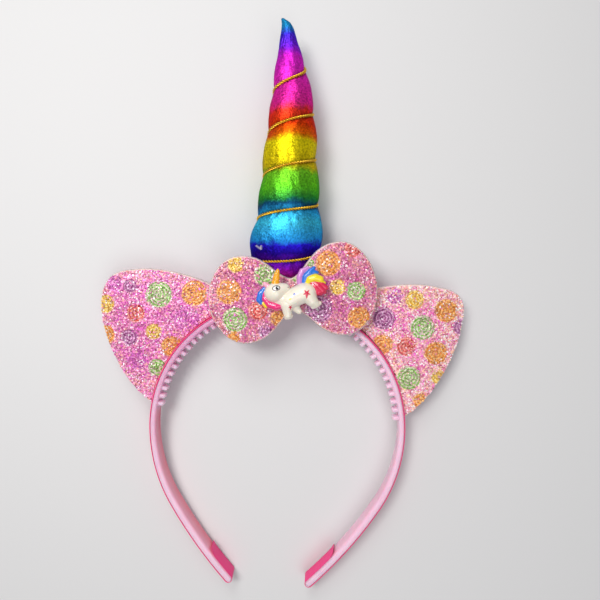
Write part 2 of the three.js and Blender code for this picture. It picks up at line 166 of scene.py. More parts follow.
def loft(rings):
    """The points and faces that skin a run of rings of equal count and close both ends with a fan."""
    rings = np.asarray(rings, float)
    rows, sides = rings.shape[:2]
    points = np.concatenate((rings.reshape(-1, 3), rings[[0, -1]].mean(axis=1)))
    faces = []
    for row in range(rows - 1):
        for a in range(sides):
            b = (a + 1) % sides
            low, high = row * sides, (row + 1) * sides
            faces.append((low + a, low + b, high + b, high + a))
    for row, hub in ((0, rows * sides), (rows - 1, rows * sides + 1)):
        faces += [(hub, row * sides + a, row * sides + (a + 1) % sides) for a in range(sides)]
    return points, faces


def outward(heading):
    """The way out from the head where the band heads this way, in radians clockwise from +X."""
    return np.stack((np.sin(heading), np.cos(heading)), axis=-1)


def arm_stations(arcs, side):
    """x, y and heading down the middle of one arm, from the crown to the tip. side is -1 on the left."""
    stations = []
    heading, point = 0.0, np.array((0.0, CROWN_RADIUS))
    for radius, sweep in arcs:
        centre = point - radius * outward(heading)
        steps = math.ceil(sweep / ARC_STEP)
        for share in np.arange(steps) / steps:
            turned = heading + math.radians(sweep) * share
            stations.append((*(centre + radius * outward(turned)), turned))
        heading += math.radians(sweep)
        point = centre + radius * outward(heading)
    stations.append((*point, heading))
    return np.array(stations) * (side, 1, side)


def bar_ring(station, section, splay=0.0):
    """A section of a bar, given as offsets outwards and forwards, set at a station of the band."""
    x, y, heading = station
    offset, height = np.asarray(section, float).T
    offset = offset + splay * (BAND_WIDE / 2 - height)
    out_x, out_y = outward(heading)
    return np.stack((x + out_x * offset, y + out_y * offset, height), axis=1)


def rounded_bar(thick, wide, rounding, steps=7):
    """The section of a bar with rounded edges."""
    corners = ((1, 1, 0), (-1, 1, 90), (-1, -1, 180), (1, -1, 270))
    section = []
    for across, up, start in corners:
        for angle in np.radians(np.linspace(start, start + 90, steps)):
            section.append((
                across * (thick / 2 - rounding) + rounding * math.cos(angle),
                up * (wide / 2 - rounding) + rounding * math.sin(angle),
            ))
    return section


def past_tip(station, distance):
    """The station a distance straight on past the end of an arm."""
    x, y, heading = station
    return x + distance * math.cos(heading), y - distance * math.sin(heading), heading


band_line = np.concatenate((arm_stations(LEFT_ARM, -1)[::-1], arm_stations(RIGHT_ARM, 1)[1:]))


def splay_at(heading):
    """How far the section leans where the band heads this way."""
    start, full = SPLAYS
    return RIGHT_SPLAY * np.clip((math.degrees(heading) - start) / (full - start), 0, 1)


def half_thick(heading):
    """Half the thickness of the plastic where the band heads this way."""
    return BAND_THICK / 2 + TIPS_THICKER / 2 * np.interp(np.degrees(np.abs(heading)), THICKENS, (0, 1))


def tip_rings(station, direction):
    """The rings that round off one tip of the band."""
    rings = []
    half = half_thick(station[2])
    for angle in np.radians(TIP_ANGLES):
        left = max(math.cos(angle), TIP_THINNEST)
        wide = BAND_WIDE - TIP_NARROWING * (1 - left)
        section = rounded_bar(2 * half * left, wide, BAND_ROUNDING * left)
        place = past_tip(station, direction * half * math.sin(angle))
        rings.append(bar_ring(place, section, splay_at(station[2])))
    return rings


def tooth(heading):
    """One blunt peg on the inner face of the crown."""
    around = np.linspace(0, 2 * math.pi, TOOTH_SIDES, endpoint=False)
    along = np.sign(np.cos(around)) * np.abs(np.cos(around)) ** (2 / TOOTH_SQUARENESS)
    across = np.sign(np.sin(around)) * np.abs(np.sin(around)) ** (2 / TOOTH_SQUARENESS)
    out_x, out_y = outward(heading)
    rings = []
    for height, half_long, half_wide in TOOTH_RINGS:
        radius = CROWN_RADIUS - BAND_THICK / 2 - height
        x = out_x * radius + out_y * along * half_long
        y = out_y * radius - out_x * along * half_long
        rings.append(np.stack((x, y, TOOTH_FORWARD + across * half_wide), axis=1))
    return loft(rings)


def joined(parts):
    """Several lots of points and faces as one."""
    points, faces = [], []
    count = 0
    for more_points, more_faces in parts:
        points.append(np.asarray(more_points, float))
        faces += [tuple(count + corner for corner in face) for face in more_faces]
        count += len(more_points)
    return np.concatenate(points), faces


def dye(code):
    """A colour written as six hexadecimal digits, as the shaders take it."""
    shares = (int(code[i:i + 2], 16) / 255 for i in (0, 2, 4))
    linear = [v / 12.92 if v <= 0.04045 else ((v + 0.055) / 1.055) ** 2.4 for v in shares]
    return (*linear, 1.0)


def new_finish(name, **sockets):
    """A material with one Principled shader, its plain sockets set by name, and its nodes and links."""
    material = bpy.data.materials.new(name)
    material.use_nodes = True
    tree = material.node_tree
    shader = tree.nodes["Principled BSDF"]
    for socket, value in sockets.items():
        shader.inputs[socket.replace("_", " ")].default_value = value
    return material, tree, shader


def new_node(tree, kind, **values):
    """A shader node with some of its inputs set by name."""
    node = tree.nodes.new(kind)
    for socket, value in values.items():
        node.inputs[socket.replace("_", " ")].default_value = value
    return node


def wire(tree, *joints):
    """Links shader nodes: each joint is a node, its output, the next node and that one's input."""
    for source, output, target, socket in joints:
        tree.links.new(source.outputs[output], target.inputs[socket])


def new_field(tree, name):
    """A shader node that reads what a mesh stores at its points under this name."""
    node = tree.nodes.new("ShaderNodeAttribute")
    node.attribute_name = name
    return node


def make_mottle_group():
    """Soft blotches and fine grain: a colour that drifts between two, a roughness and a height."""
    group = bpy.data.node_groups.new("Mottle", "ShaderNodeTree")
    face = group.interface
    for name, kind in (("Colour", "Color"), ("Drift", "Color"), ("Blotch Scale", "Float"),
                       ("Grain Scale", "Float"), ("Smoothest", "Float"), ("Roughest", "Float")):
        face.new_socket(name=name, in_out="INPUT", socket_type=f"NodeSocket{kind}")
    for name, kind in (("Colour", "Color"), ("Roughness", "Float"), ("Height", "Float")):
        face.new_socket(name=name, in_out="OUTPUT", socket_type=f"NodeSocket{kind}")
    given = group.nodes.new("NodeGroupInput")
    made = group.nodes.new("NodeGroupOutput")
    place = group.nodes.new("ShaderNodeTexCoord")
    blotch = new_node(group, "ShaderNodeTexNoise", Detail=3.0)
    grain = new_node(group, "ShaderNodeTexNoise", Detail=2.0)
    colour = group.nodes.new("ShaderNodeMix")
    colour.data_type = "RGBA"
    rough = group.nodes.new("ShaderNodeMapRange")
    wire(
        group,
        (place, "Object", blotch, "Vector"), (given, "Blotch Scale", blotch, "Scale"),
        (place, "Object", grain, "Vector"), (given, "Grain Scale", grain, "Scale"),
        (blotch, "Fac", colour, "Factor"), (given, "Colour", colour, "A"), (given, "Drift", colour, "B"),
        (grain, "Fac", rough, "Value"), (given, "Smoothest", rough, "To Min"),
        (given, "Roughest", rough, "To Max"), (colour, "Result", made, "Colour"),
        (rough, "Result", made, "Roughness"), (grain, "Fac", made, "Height"),
    )
    return group


mottle_group = make_mottle_group()


def add_mottle(tree, shader, bump, **values):
    """Sets the blotches and grain on a shader, with a bump in metres, and returns their node."""
    mottle = tree.nodes.new("ShaderNodeGroup")
    mottle.node_tree = mottle_group
    for socket, value in values.items():
        mottle.inputs[socket.replace("_", " ")].default_value = value
    relief = new_node(tree, "ShaderNodeBump", Distance=bump)
    wire(
        tree,
        (mottle, "Colour", shader, "Base Color"), (mottle, "Roughness", shader, "Roughness"),
        (mottle, "Height", relief, "Height"), (relief, "Normal", shader, "Normal"),
    )
    return mottle


moulded_plastic, tree, shader = new_finish(
    "moulded_plastic", IOR=1.49, Specular_IOR_Level=0.22, Coat_Weight=0.1, Coat_Roughness=0.12,
    Subsurface_Weight=1.0, Subsurface_Scale=0.004, Subsurface_Radius=(1, 0.6, 0.65),
)
mottle = add_mottle(tree, shader, 0.00004, Colour=dye("f5d0e4"), Drift=dye("f2c1d8"), Blotch_Scale=90.0,
                    Grain_Scale=900.0, Smoothest=0.24, Roughest=0.36)
painted_light_tint = new_field(tree, "painted_light_tint")
plastic_colour = tree.nodes.new("ShaderNodeMix")
plastic_colour.data_type = "RGBA"
plastic_colour.blend_type = "MULTIPLY"
plastic_colour.inputs["Factor"].default_value = 1
wire(
    tree,
    (mottle, "Colour", plastic_colour, "A"), (painted_light_tint, "Color", plastic_colour, "B"),
    (plastic_colour, "Result", shader, "Base Color"),
)

arm_rings = []
for station in band_line:
    section = rounded_bar(2 * half_thick(station[2]), BAND_WIDE, BAND_ROUNDING)
    arm_rings.append(bar_ring(station, section, splay_at(station[2])))
band = make_piece("moulded_band", *loft(
    tip_rings(band_line[0], -1)[::-1]
    + arm_rings
    + tip_rings(band_line[-1], 1)
), moulded_plastic)
tooth_angles = np.radians(np.interp(np.arange(TEETH[-1][0] + 1), *zip(*TEETH)))
teeth = make_piece("comb_teeth", *joined([tooth(angle) for angle in tooth_angles]))


def apply_modifiers(piece):
    """Bakes a piece's modifiers into its mesh."""
    made = bpy.data.meshes.new_from_object(piece.evaluated_get(bpy.context.evaluated_depsgraph_get()))
    piece.modifiers.clear()
    piece.data = made


union = band.modifiers.new("teeth", "BOOLEAN")
union.operation = "UNION"
union.object = teeth
apply_modifiers(band)
bpy.data.objects.remove(teeth)


def weld(piece, distance):
    """Joins points of a mesh that all but touch, and drops the slivers and spare points between them."""
    shape = bmesh.new()
    shape.from_mesh(piece.data)
    bmesh.ops.remove_doubles(shape, verts=shape.verts, dist=distance)
    bmesh.ops.dissolve_degenerate(shape, edges=shape.edges, dist=distance)
    bmesh.ops.dissolve_verts(shape, verts=[vert for vert in shape.verts if len(vert.link_edges) == 2])
    shape.to_mesh(piece.data)
    shape.free()


weld(band, WELD_DISTANCE)
band.data.set_sharp_from_angle(angle=SHARPEST_SMOOTH)


def lift_up(piece):
    """The points of a piece that lies on the table, in the headband's own millimetres."""
    points = np.empty(len(piece.data.vertices) * 3)
    piece.data.vertices.foreach_get("co", points)
    x, y, z = ((points.reshape(-1, 3) - CROWN_CENTRE) * 1000).T
    c, s = math.cos(REST_TILT), math.sin(REST_TILT)
    return np.stack((x, y * c + z * s, z * c - y * s), axis=1)


def store(layers, name, values):
    """Stores a value or a colour for every point of a mesh, in one of its lots of layers."""
    kind, field = ("FLOAT_COLOR", "color") if values.ndim == 2 else ("FLOAT", "value")
    layers.new(name, kind, "POINT").data.foreach_set(field, values.ravel())


band_points = lift_up(band)
nearest = np.linalg.norm(band_points[:, None, :2] - band_line[None, :, :2], axis=2).argmin(axis=1)
inwards = -((band_points[:, :2] - band_line[nearest, :2]) * outward(band_line[nearest, 2])).sum(axis=1)
headings = np.degrees(band_line[nearest, 2])
# Painted light in the plastic's colour: painted shade on the left of the crown, and a painted glow of light
# through the ribbon on the arms below the teeth.
on_left = (0.5 - headings / SIDE_FADE).clip(0, 1)
left_shade = on_left * np.interp(abs(headings), LEFT_SHADE_FADE, (1, 0))
past_face = inwards - half_thick(band_line[nearest, 2])
left_shade *= np.interp(past_face, (0, 1), (1, TEETH_SHADE_SHARE))
last_tooth = np.degrees(np.where(headings < 0, tooth_angles[0], tooth_angles[-1]))
# painted glow: the light through the ribbon, stronger on the left arm
shows = ((abs(headings) - abs(last_tooth)) / SHOW_FADE).clip(0, 1) * np.where(headings < 0, *GLOW_SHARES)
shows *= SHOW_IN_FRONT + (1 - SHOW_IN_FRONT) * (0.5 - band_points[:, 2] / BAND_WIDE)
shows *= np.exp(-(past_face / SHOW_DEPTH) ** 2)
painted_light = np.ones((len(band_points), 4))
painted_light[:, :3] -= left_shade[:, None] * (1 - np.array(LEFT_PAINTED_SHADE)) + shows[:, None] * (1 - np.array(SHOW_THROUGH_GLOW))
store(band.data.attributes, "painted_light_tint", painted_light)
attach(band, "root")
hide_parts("band")

# The ribbon is hot pink satin, glued along the band's outer face. Each end is folded round the tip of the
# band and stuck down on the inner face as a short tab, whose cut end lifts a little.
RIBBON_WIDE = 8.0
RIBBON_THICK = (0.45, 0.22)  # on the crown, and on the arms, where it is pulled flat
RIBBON_THINS = (70, 100)  # degrees down each arm over which it gets thinner
RIBBON_ROUNDING = 0.44  # of its thickness
GLUE = 0.05
RIBBON_TABS = (17.0, 20.0)  # on the left and on the right arm
TAB_LIFT = 1.3
TAB_LIFT_LENGTH = 5.0
TAB_LIFT_SHARES = (0.35, 0.65)  # of that lift at the back edge, and added towards the front edge
FOLD_STEP = 12  # degrees


def ribbon_section(heading):
    """The section of the ribbon on the outer face of the band, where the band heads this way."""
    thick = np.interp(math.degrees(abs(heading)), RIBBON_THINS, RIBBON_THICK)
    section = np.array(rounded_bar(thick, RIBBON_WIDE, RIBBON_ROUNDING * thick, steps=4))
    return section + (half_thick(heading) + GLUE + thick / 2, 0)


def walked_along(points):
    """How far along a run of points each of them lies."""
    return np.concatenate(([0], np.cumsum(np.linalg.norm(np.diff(points, axis=0), axis=1))))


def folded_end(line, turn, tab):
    """Rings of the fold round a tip and of the tab behind it, from the tip on. line starts at the tip."""
    x, y, heading = line[0]
    splay = splay_at(heading)
    section = ribbon_section(heading)
    rings = []
    for angle in np.radians(np.arange(FOLD_STEP, 181, FOLD_STEP)):
        lean = splay * math.cos(angle)
        rings.append(bar_ring((x, y, heading + turn * angle), section, lean))
    walked = walked_along(line[:, :2])
    for distance in np.arange(1, tab + 0.1, 1):
        x, y, heading = (np.interp(distance, walked, column) for column in line.T)
        loose = max(0, distance - tab + TAB_LIFT_LENGTH) / TAB_LIFT_LENGTH
        lifted = ribbon_section(heading)
        forward = lifted[:, 1] / RIBBON_WIDE + 0.5
        lifted[:, 0] += TAB_LIFT * loose ** 2 * (TAB_LIFT_SHARES[0] + TAB_LIFT_SHARES[1] * forward)
        rings.append(bar_ring((x, y, heading + turn * math.pi), lifted, -splay))
    return rings


ribbon_rings = (
    folded_end(band_line, -1, RIBBON_TABS[0])[::-1]
    + [bar_ring(station, ribbon_section(station[2]), splay_at(station[2])) for station in band_line]
    + folded_end(band_line[::-1], 1, RIBBON_TABS[1])
)
satin, tree, shader = new_finish(
    "satin", Sheen_Weight=0.04, Sheen_Roughness=0.3, Sheen_Tint=dye("ffc4de"), Specular_IOR_Level=0.25,
)
add_mottle(tree, shader, 0.00006, Colour=dye("fb5098"), Drift=dye("f74286"), Blotch_Scale=120.0,
           Grain_Scale=2600.0, Smoothest=0.42, Roughest=0.62)
ribbon = make_piece("satin_ribbon", *loft(ribbon_rings), satin)
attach(ribbon, "root")
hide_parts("ribbon")

# The ears are flat pads, stuffed between a sheet of chunky glitter cloth and a plain pink backing that are
# glued together at a pale cut edge. The foot of each follows the crown and is glued to the ribbon. The
# cloth is printed with lollipop swirls, and every flake of glitter takes the colour printed under it, save
# a few that are painted near white as glints. Each pad's colours also carry a tint of painted light.
EAR_TURNS = {"left": 48.6, "right": -55.0}
EAR_FOOT_RADIUS = 61.25
EAR_FOOT_HALF = 31.9
EAR_SIDE = ((34.9, 66), (22.8, 92.1), (10.7, 101.9))
EAR_TIP = 107.6
# The ears are cut by hand: how much fuller each is than the pattern, on its -x side and its +x side.
EAR_FULLER = {"left": (1.6, 0), "right": (-0.5, -0.9)}
EAR_FULLEST = (0.2, 1, 1)  # the share of that at each point of the side
EAR_SEEDS = {"left": 0, "right": 10}
CURVE_STEPS = 24
PAD_STEP = 1.4  # between two points of a pad
RIM_STEP = 0.8  # of that step between two points of its outline
NET_CLEARANCE = 0.6  # of that step between the outline and the net inside it
PAD_RIM = 1.4  # thickness at the edge
CUT_EDGE = 0.8  # the glitter sheet is cut this much smaller than the backing
EAR_LOFT = (2.1, 1.7)  # how far the stuffing lifts the front and the back off the rim
PAD_PRESSURE = 3.0
PAD_FRAMES = 16
CLOTH_QUALITY = 6
SIM_SCALE = 0.01  # the pads are simulated ten times their size, where cloth behaves well
FLAKE_RADIUS = (0.31, 0.56)
FLAKE_TILT = math.radians(20)
FLAKE_WOBBLE = 0.5  # the spread of chance in that tilt
FLAKE_CORNERS = 6
FLAKE_RAGGED = (0.8, 1.1)  # shares of its radius at which a flake's corners lie
FLAKE_LIFT = (0.1, 0.32)  # off the cloth
FLAKE_ROOT = 0.35  # from a flake down to its point in the cloth
FLAKES_PER_SQUARE_MM = 3.2
SWIRL_PITCH = 1.5
STRIPE_SHARE = 0.55
# The swirls on each ear as it stands upright: x, y, radius and colour.
EAR_SWIRLS = {
    "left": (
        (0.5, 103.5, 3.8, "lilac"), (4.5, 97, 3.3, "purple"), (10.5, 84, 6.2, "green"),
        (22, 72, 6, "orange"), (-10, 100.5, 4.5, "yellow"), (-3.5, 86.5, 4.3, "red"),
        (10, 66.5, 6.2, "lilac"), (-4.5, 74.5, 3.7, "yellow"), (-21, 91, 4.5, "orange"),
        (-14.5, 81.5, 3.9, "purple"), (-4.5, 63.5, 5, "orange"), (-20.5, 72, 4.7, "lilac"),
        (-17, 62, 4.2, "green"),
    ),
    "right": (
        (-19.5, 82, 4, "lilac"), (-12.5, 88.5, 4.5, "yellow"), (0.5, 98, 5.5, "orange"),
        (-13.5, 71.5, 5.3, "purple"), (0.5, 84, 5.8, "green"), (3.5, 72.5, 4.5, "red"),
        (14.5, 82.5, 5.5, "orange"), (-3.5, 64, 4.8, "orange"), (17, 65, 5.7, "green"),
        (25, 77, 3.4, "yellow"), (29.5, 63.5, 3.6, "orange"), (11, 99.5, 3.8, "purple"),
    ),
}
# What the flakes on plain ground are, with the share of each inside and by the edge.
GROUND_FLAKES = (
    ("f9a6cf", 0.34, 0.30), ("f285bd", 0.26, 0.12), ("e560c6", 0.22, 0.02), ("ffd5e8", 0.06, 0.20),
    ("fdb6ae", 0.08, 0.28), ("f59a9c", 0.00, 0.06), ("c9509c", 0.04, 0.02),
)
# How far in from the edge the ground is paler and peachier, and the tint of the whole, which is painted
# light: it makes the right ear lighter than the left.
EAR_GROUNDS = {"left": (5.0, (0.98, 0.93, 1.0)), "right": (12.0, (1.2, 1.34, 1.06))}
PATCH_REACH = 2.5  # how far the edge of that paler ground wanders
PATCH_SIZE = 16
RIPPLE_SPREAD = (0.7, 1.4)  # of the waves in a field of chance
# The stripe and the lighter stripe of each swirl, and the share of its flakes that took the print.
SWIRL_DYES = {
    "green": ("82c04a", "ead9cc", 0.93), "orange": ("ea8a34", "f7c27c", 0.93),
    "red": ("dd4a4a", "f5ab9e", 0.93), "yellow": ("ecb437", "f6dd90", 0.93),
    "purple": ("9a3e84", "e8b0d8", 0.93), "lilac": ("c858b6", "e888cc", 0.62),
}
FLAKE_BRIGHTEST = 1.18
FLAKE_FADE = 0.72  # the dullest flake is this much darker
FLAKE_DEEPENING = (0.8, 1.25, 1.0)  # and deeper in its red
# painted glints: a share of flakes coloured near white, as though catching the light
GLINT = "fff4fa"
GLINT_SHARE = 0.035


def bezier(a, b, c, d):
    """Points along a cubic curve, without its last."""
    t = np.arange(CURVE_STEPS)[:, None] / CURVE_STEPS
    a, b, c, d = (np.array(p, float) for p in (a, b, c, d))
    return (1 - t) ** 3 * a + 3 * (1 - t) ** 2 * t * b + 3 * (1 - t) * t ** 2 * c + t ** 3 * d


def ear_outline(fuller):
    """The cut of an ear as it stands upright: a rounded leaf on a foot that follows the crown."""
    foot_angle = math.asin(EAR_FOOT_HALF / EAR_FOOT_RADIUS)
    foot_height = EAR_FOOT_RADIUS * math.cos(foot_angle)
    sides = []
    for sign, more in zip((-1, 1), fuller):
        side = [(sign * (x + more * share), y) for (x, y), share in zip(EAR_SIDE, EAR_FULLEST)]
        sides.append([(sign * EAR_FOOT_HALF, foot_height), *side])
    left, right = sides
    top = EAR_TIP + (EAR_TIP - right[-1][1]) / 3
    tip = bezier(right[-1], (right[-1][0] / 3, top), (left[-1][0] / 3, top), left[-1])
    foot = EAR_FOOT_RADIUS * outward(np.linspace(-foot_angle, foot_angle, CURVE_STEPS, endpoint=False))
    return np.concatenate((bezier(*right), tip, bezier(*left[::-1]), foot))


def even_steps(outline, step):
    """A closed outline again, with points an even step apart."""
    closed = np.concatenate((outline, outline[:1]))
    walked = walked_along(closed)
    places = np.linspace(0, walked[-1], round(walked[-1] / step), endpoint=False)
    return np.stack([np.interp(places, walked, column) for column in closed.T], axis=1)


def inside(points, outline):
    """Which points lie inside a closed outline."""
    a, b = outline, np.roll(outline, -1, axis=0)
    x, y = points[:, :1], points[:, 1:]
    crosses = (a[:, 1] > y) != (b[:, 1] > y)
    rise = np.where(b[:, 1] == a[:, 1], 1, b[:, 1] - a[:, 1])
    where = a[:, 0] + (y - a[:, 1]) / rise * (b[:, 0] - a[:, 0])
    return (crosses & (x < where)).sum(axis=1) % 2 == 1


def cut_sheet(outline):
    """An even net of triangles that fills an outline: its points, outline first, and its triangles."""
    low, high = outline.min(axis=0), outline.max(axis=0)
    row_step = PAD_STEP * math.sqrt(3) / 2
    rows = np.arange(low[1], high[1], row_step)
    net = np.array([
        (x + PAD_STEP / 2 * (row % 2), y)
        for row, y in enumerate(rows) for x in np.arange(low[0], high[0], PAD_STEP)
    ])
    net = net[inside(net, outline)]
    clear = np.linalg.norm(net[:, None] - outline[None], axis=2).min(axis=1)
    points = np.concatenate((outline, net[clear > NET_CLEARANCE * PAD_STEP]))
    rim = [(i, (i + 1) % len(outline)) for i in range(len(outline))]
    filled = delaunay_2d_cdt(points.tolist(), rim, [], 1, 1e-6)
    return np.array([tuple(p) for p in filled[0]]), np.array(filled[2])


def inflate(points, faces, seam, most):
    """Blows up a sewn pad as simulated cloth. Its seam stays, and no point moves further than the most."""
    mesh = bpy.data.meshes.new("sewn_pad")
    mesh.from_pydata((points * SIM_SCALE).tolist(), [], faces)
    pad = bpy.data.objects.new("sewn_pad", mesh)
    scene.collection.objects.link(pad)
    pad.vertex_groups.new(name="seam").add(seam, 1.0, "REPLACE")
    cloth = pad.modifiers.new("cloth", "CLOTH")
    cloth.settings.quality = CLOTH_QUALITY
    cloth.settings.vertex_group_mass = "seam"
    cloth.settings.use_pressure = True
    cloth.settings.uniform_pressure_force = PAD_PRESSURE
    cloth.settings.effector_weights.gravity = 0
    for step in range(1, PAD_FRAMES + 1):
        scene.frame_set(step)
    blown = pad.evaluated_get(bpy.context.evaluated_depsgraph_get()).to_mesh()
    places = np.empty(len(points) * 3)
    blown.vertices.foreach_get("co", places)
    bpy.data.objects.remove(pad)
    scene.frame_set(1)
    move = places.reshape(-1, 3) / SIM_SCALE - points
    length = np.maximum(np.linalg.norm(move, axis=1, keepdims=True), 1e-9)
    return points + move / length * most * np.tanh(length / most)


def sew_pad(outline, lift):
    """A stuffed pad: points, then the triangles of its front, its back and its cut edge."""
    outline = even_steps(outline, PAD_STEP * RIM_STEP)
    flat, net = cut_sheet(outline)
    count, rim = len(flat), len(outline)
    ahead = np.roll(outline, -1, axis=0) - np.roll(outline, 1, axis=0)
    inwards = np.stack((-ahead[:, 1], ahead[:, 0]), axis=1)
    front = flat.copy()
    front[:rim] += CUT_EDGE * inwards / np.linalg.norm(inwards, axis=1, keepdims=True)
    points = np.concatenate((
        np.column_stack((front, np.full(count, PAD_RIM / 2))),
        np.column_stack((flat, np.full(count, -PAD_RIM / 2))),
    ))
    back = net[:, ::-1] + count
    edge = [(count + i, count + (i + 1) % rim, (i + 1) % rim, i) for i in range(rim)]
    faces = [tuple(map(int, face)) for face in (*net, *back)] + edge
    seam = [*range(rim), *range(count, count + rim)]
    points = inflate(points, faces, seam, np.repeat(lift, count)[:, None])
    return points, net, back, edge


def unit(vectors):
    """Vectors of the same directions, all of length 1."""
    return vectors / np.linalg.norm(vectors, axis=1, keepdims=True)


def strew_flakes(points, net, seed):
    """Chips of glitter over a pad's front: the corners of each, then its root in the cloth."""
    draw = np.random.default_rng(seed)
    a, b, c = (points[net[:, k]] for k in range(3))
    normal = np.cross(b - a, c - a)
    area = np.linalg.norm(normal, axis=1) / 2
    normal /= 2 * area[:, None]
    count = int(area.sum() * FLAKES_PER_SQUARE_MM)
    along = (np.arange(count) + draw.random(count)) / count * area.sum()
    face = np.searchsorted(np.cumsum(area), along).clip(0, len(area) - 1)
    u, v = draw.random((2, count, 1))
    u, v = np.where(u + v > 1, 1 - u, u), np.where(u + v > 1, 1 - v, v)
    out = normal[face]
    lift = draw.uniform(*FLAKE_LIFT, (count, 1))
    middle = a[face] + u * (b - a)[face] + v * (c - a)[face] + out * lift
    facing = unit(out + np.tan(FLAKE_TILT) * draw.normal(0, FLAKE_WOBBLE, (count, 3)))
    beside = unit(np.cross(facing, (0.0, 1.0, 0.0)))
    above = np.cross(facing, beside)
    radius = draw.uniform(*FLAKE_RADIUS, (count, 1))
    start = draw.uniform(0, 2 * math.pi, (count, 1))
    angle = start + np.arange(FLAKE_CORNERS) * 2 * math.pi / FLAKE_CORNERS
    reach = radius * draw.uniform(*FLAKE_RAGGED, (count, FLAKE_CORNERS))
    ring = (
        middle[:, None]
        + (reach * np.cos(angle))[..., None] * beside[:, None]
        + (reach * np.sin(angle))[..., None] * above[:, None]
    )
    root = (middle - FLAKE_ROOT * facing)[:, None]
    return np.concatenate((ring, root), axis=1)


def ripples(places, wavelength, seed, waves=12):
    """A smooth field of chance over places, mostly between -1 and 1."""
    draw = np.random.default_rng(seed)
    ways = draw.normal(size=(waves, places.shape[1]))
    pace = 2 * math.pi / wavelength * draw.uniform(*RIPPLE_SPREAD, (waves, 1))
    ways *= pace / np.linalg.norm(ways, axis=1, keepdims=True)
    return np.sin(places @ ways.T + draw.uniform(0, 2 * math.pi, waves)).sum(axis=1) / math.sqrt(waves)


def printed_colours(places, outline, ground, swirls, seed):
    """The colours at the corners of flakes: the print as it lies there, chance in each flake, painted light
    and glints.
    """
    draw = np.random.default_rng(seed)
    flakes, corners = places.shape[:2]
    middles = places[..., :2].mean(axis=1)
    pale_rim, tint = ground
    codes, middle_shares, edge_shares = zip(*GROUND_FLAKES)
    # each pad's tint is painted light: lighter and darker copies of the one cloth
    ground_dyes = np.array([dye(code) for code in codes]) * (*tint, 1)
    from_edge = np.linalg.norm(middles[:, None] - outline[None], axis=2).min(axis=1)
    patch = PATCH_REACH * ripples(middles, PATCH_SIZE, seed)
    by_edge = draw.random(flakes) < np.exp(-((from_edge + patch).clip(0) / pale_rim) ** 2)
    inner, outer = (
        draw.choice(len(codes), flakes, p=np.array(shares) / sum(shares))
        for shares in (middle_shares, edge_shares)
    )
    colours = ground_dyes[np.where(by_edge, outer, inner)][:, None].repeat(corners, axis=1)
    for x, y, radius, name in swirls:
        apart = places[..., :2] - (x, y)
        distance = np.linalg.norm(apart, axis=2)
        turn = np.arctan2(apart[..., 1], apart[..., 0]) / (2 * math.pi)
        stripe = ((radius - distance) / SWIRL_PITCH + turn) % 1 < STRIPE_SHARE
        dark, pale = (np.array(dye(code)) for code in SWIRL_DYES[name][:2])
        hit = (distance < radius) & (draw.random((flakes, 1)) < SWIRL_DYES[name][2])
        colours = np.where(hit[..., None], np.where(stripe[..., None], dark, pale), colours)
    bright = FLAKE_BRIGHTEST - FLAKE_FADE * draw.random((flakes, 1, 1)) ** 2
    colours[..., :3] *= bright ** FLAKE_DEEPENING
    # painted glints
    colours[draw.random(flakes) < GLINT_SHARE] = dye(GLINT)
    return colours.clip(0, 1).reshape(-1, 4)


def feed_paint(tree, shader, name):
    """Colours a shader with the paint that a mesh stores under this name."""
    paint = tree.nodes.new("ShaderNodeVertexColor")
    paint.layer_name = name
    wire(tree, (paint, "Color", shader, "Base Color"))


glitter_cloth, tree, shader = new_finish("glitter_cloth", Roughness=0.6, Metallic=0.1)
feed_paint(tree, shader, "print")
cloth_grain = new_node(tree, "ShaderNodeTexVoronoi", Scale=1500.0)
cloth_relief = new_node(tree, "ShaderNodeBump", Distance=0.0002)
wire(tree, (cloth_grain, "Distance", cloth_relief, "Height"), (cloth_relief, "Normal", shader, "Normal"))

glitter_flakes, tree, shader = new_finish("glitter_flakes", Roughness=0.37, Metallic=0.15)
feed_paint(tree, shader, "print")

cut_edge, tree, shader = new_finish("cut_edge", Sheen_Weight=0.2)
add_mottle(tree, shader, 0.00008, Colour=dye("ffe8e0"), Drift=dye("fdd8d4"), Blotch_Scale=300.0,
           Grain_Scale=3000.0, Smoothest=0.6, Roughest=0.85)

plain_backing, tree, shader = new_finish("plain_backing", Sheen_Weight=0.4, Sheen_Tint=dye("ffd6e6"))
add_mottle(tree, shader, 0.0002, Colour=dye("ee9cc4"), Drift=dye("e583b3"), Blotch_Scale=200.0,
           Grain_Scale=2200.0, Smoothest=0.7, Roughest=0.9)

GLITTER_FINISHES = (glitter_cloth, plain_backing, cut_edge, glitter_flakes)


def make_glitter_pad(name, outline, lift, ground, swirls, to_headband, seed):
    """A padded piece of glitter cloth. to_headband takes points from its own frame to the headband's."""
    points, net, back, edge = sew_pad(outline, lift)
    chips = strew_flakes(points, net, seed)
    corners = len(points) + np.arange(len(chips))[:, None] * (FLAKE_CORNERS + 1)
    tops = corners + np.arange(FLAKE_CORNERS)
    sides = [
        np.concatenate((corners + (k + 1) % FLAKE_CORNERS, corners + k, corners + FLAKE_CORNERS), axis=1)
        for k in range(FLAKE_CORNERS)
    ]
    faces = [face.tolist() for face in (*net, *back)] + edge
    faces += tops.tolist() + np.concatenate(sides).tolist()
    flake_faces = len(chips) * (FLAKE_CORNERS + 1)
    wears = np.repeat((0, 1, 2, 3), (len(net), len(back), len(edge), flake_faces))
    cloth_colours = printed_colours(points[:, None], outline, ground, swirls, seed + 1)
    flake_colours = printed_colours(chips, outline, ground, swirls, seed + 2)
    places = to_headband(np.concatenate((points, chips.reshape(-1, 3))))
    pad = make_piece(name, places, faces, *GLITTER_FINISHES)
    pad.data.polygons.foreach_set("material_index", wears.astype(np.int32))
    pad.data.polygons.foreach_set("use_smooth", wears < 3)
    store(pad.data.color_attributes, "print", np.concatenate((cloth_colours, flake_colours)))
    return pad


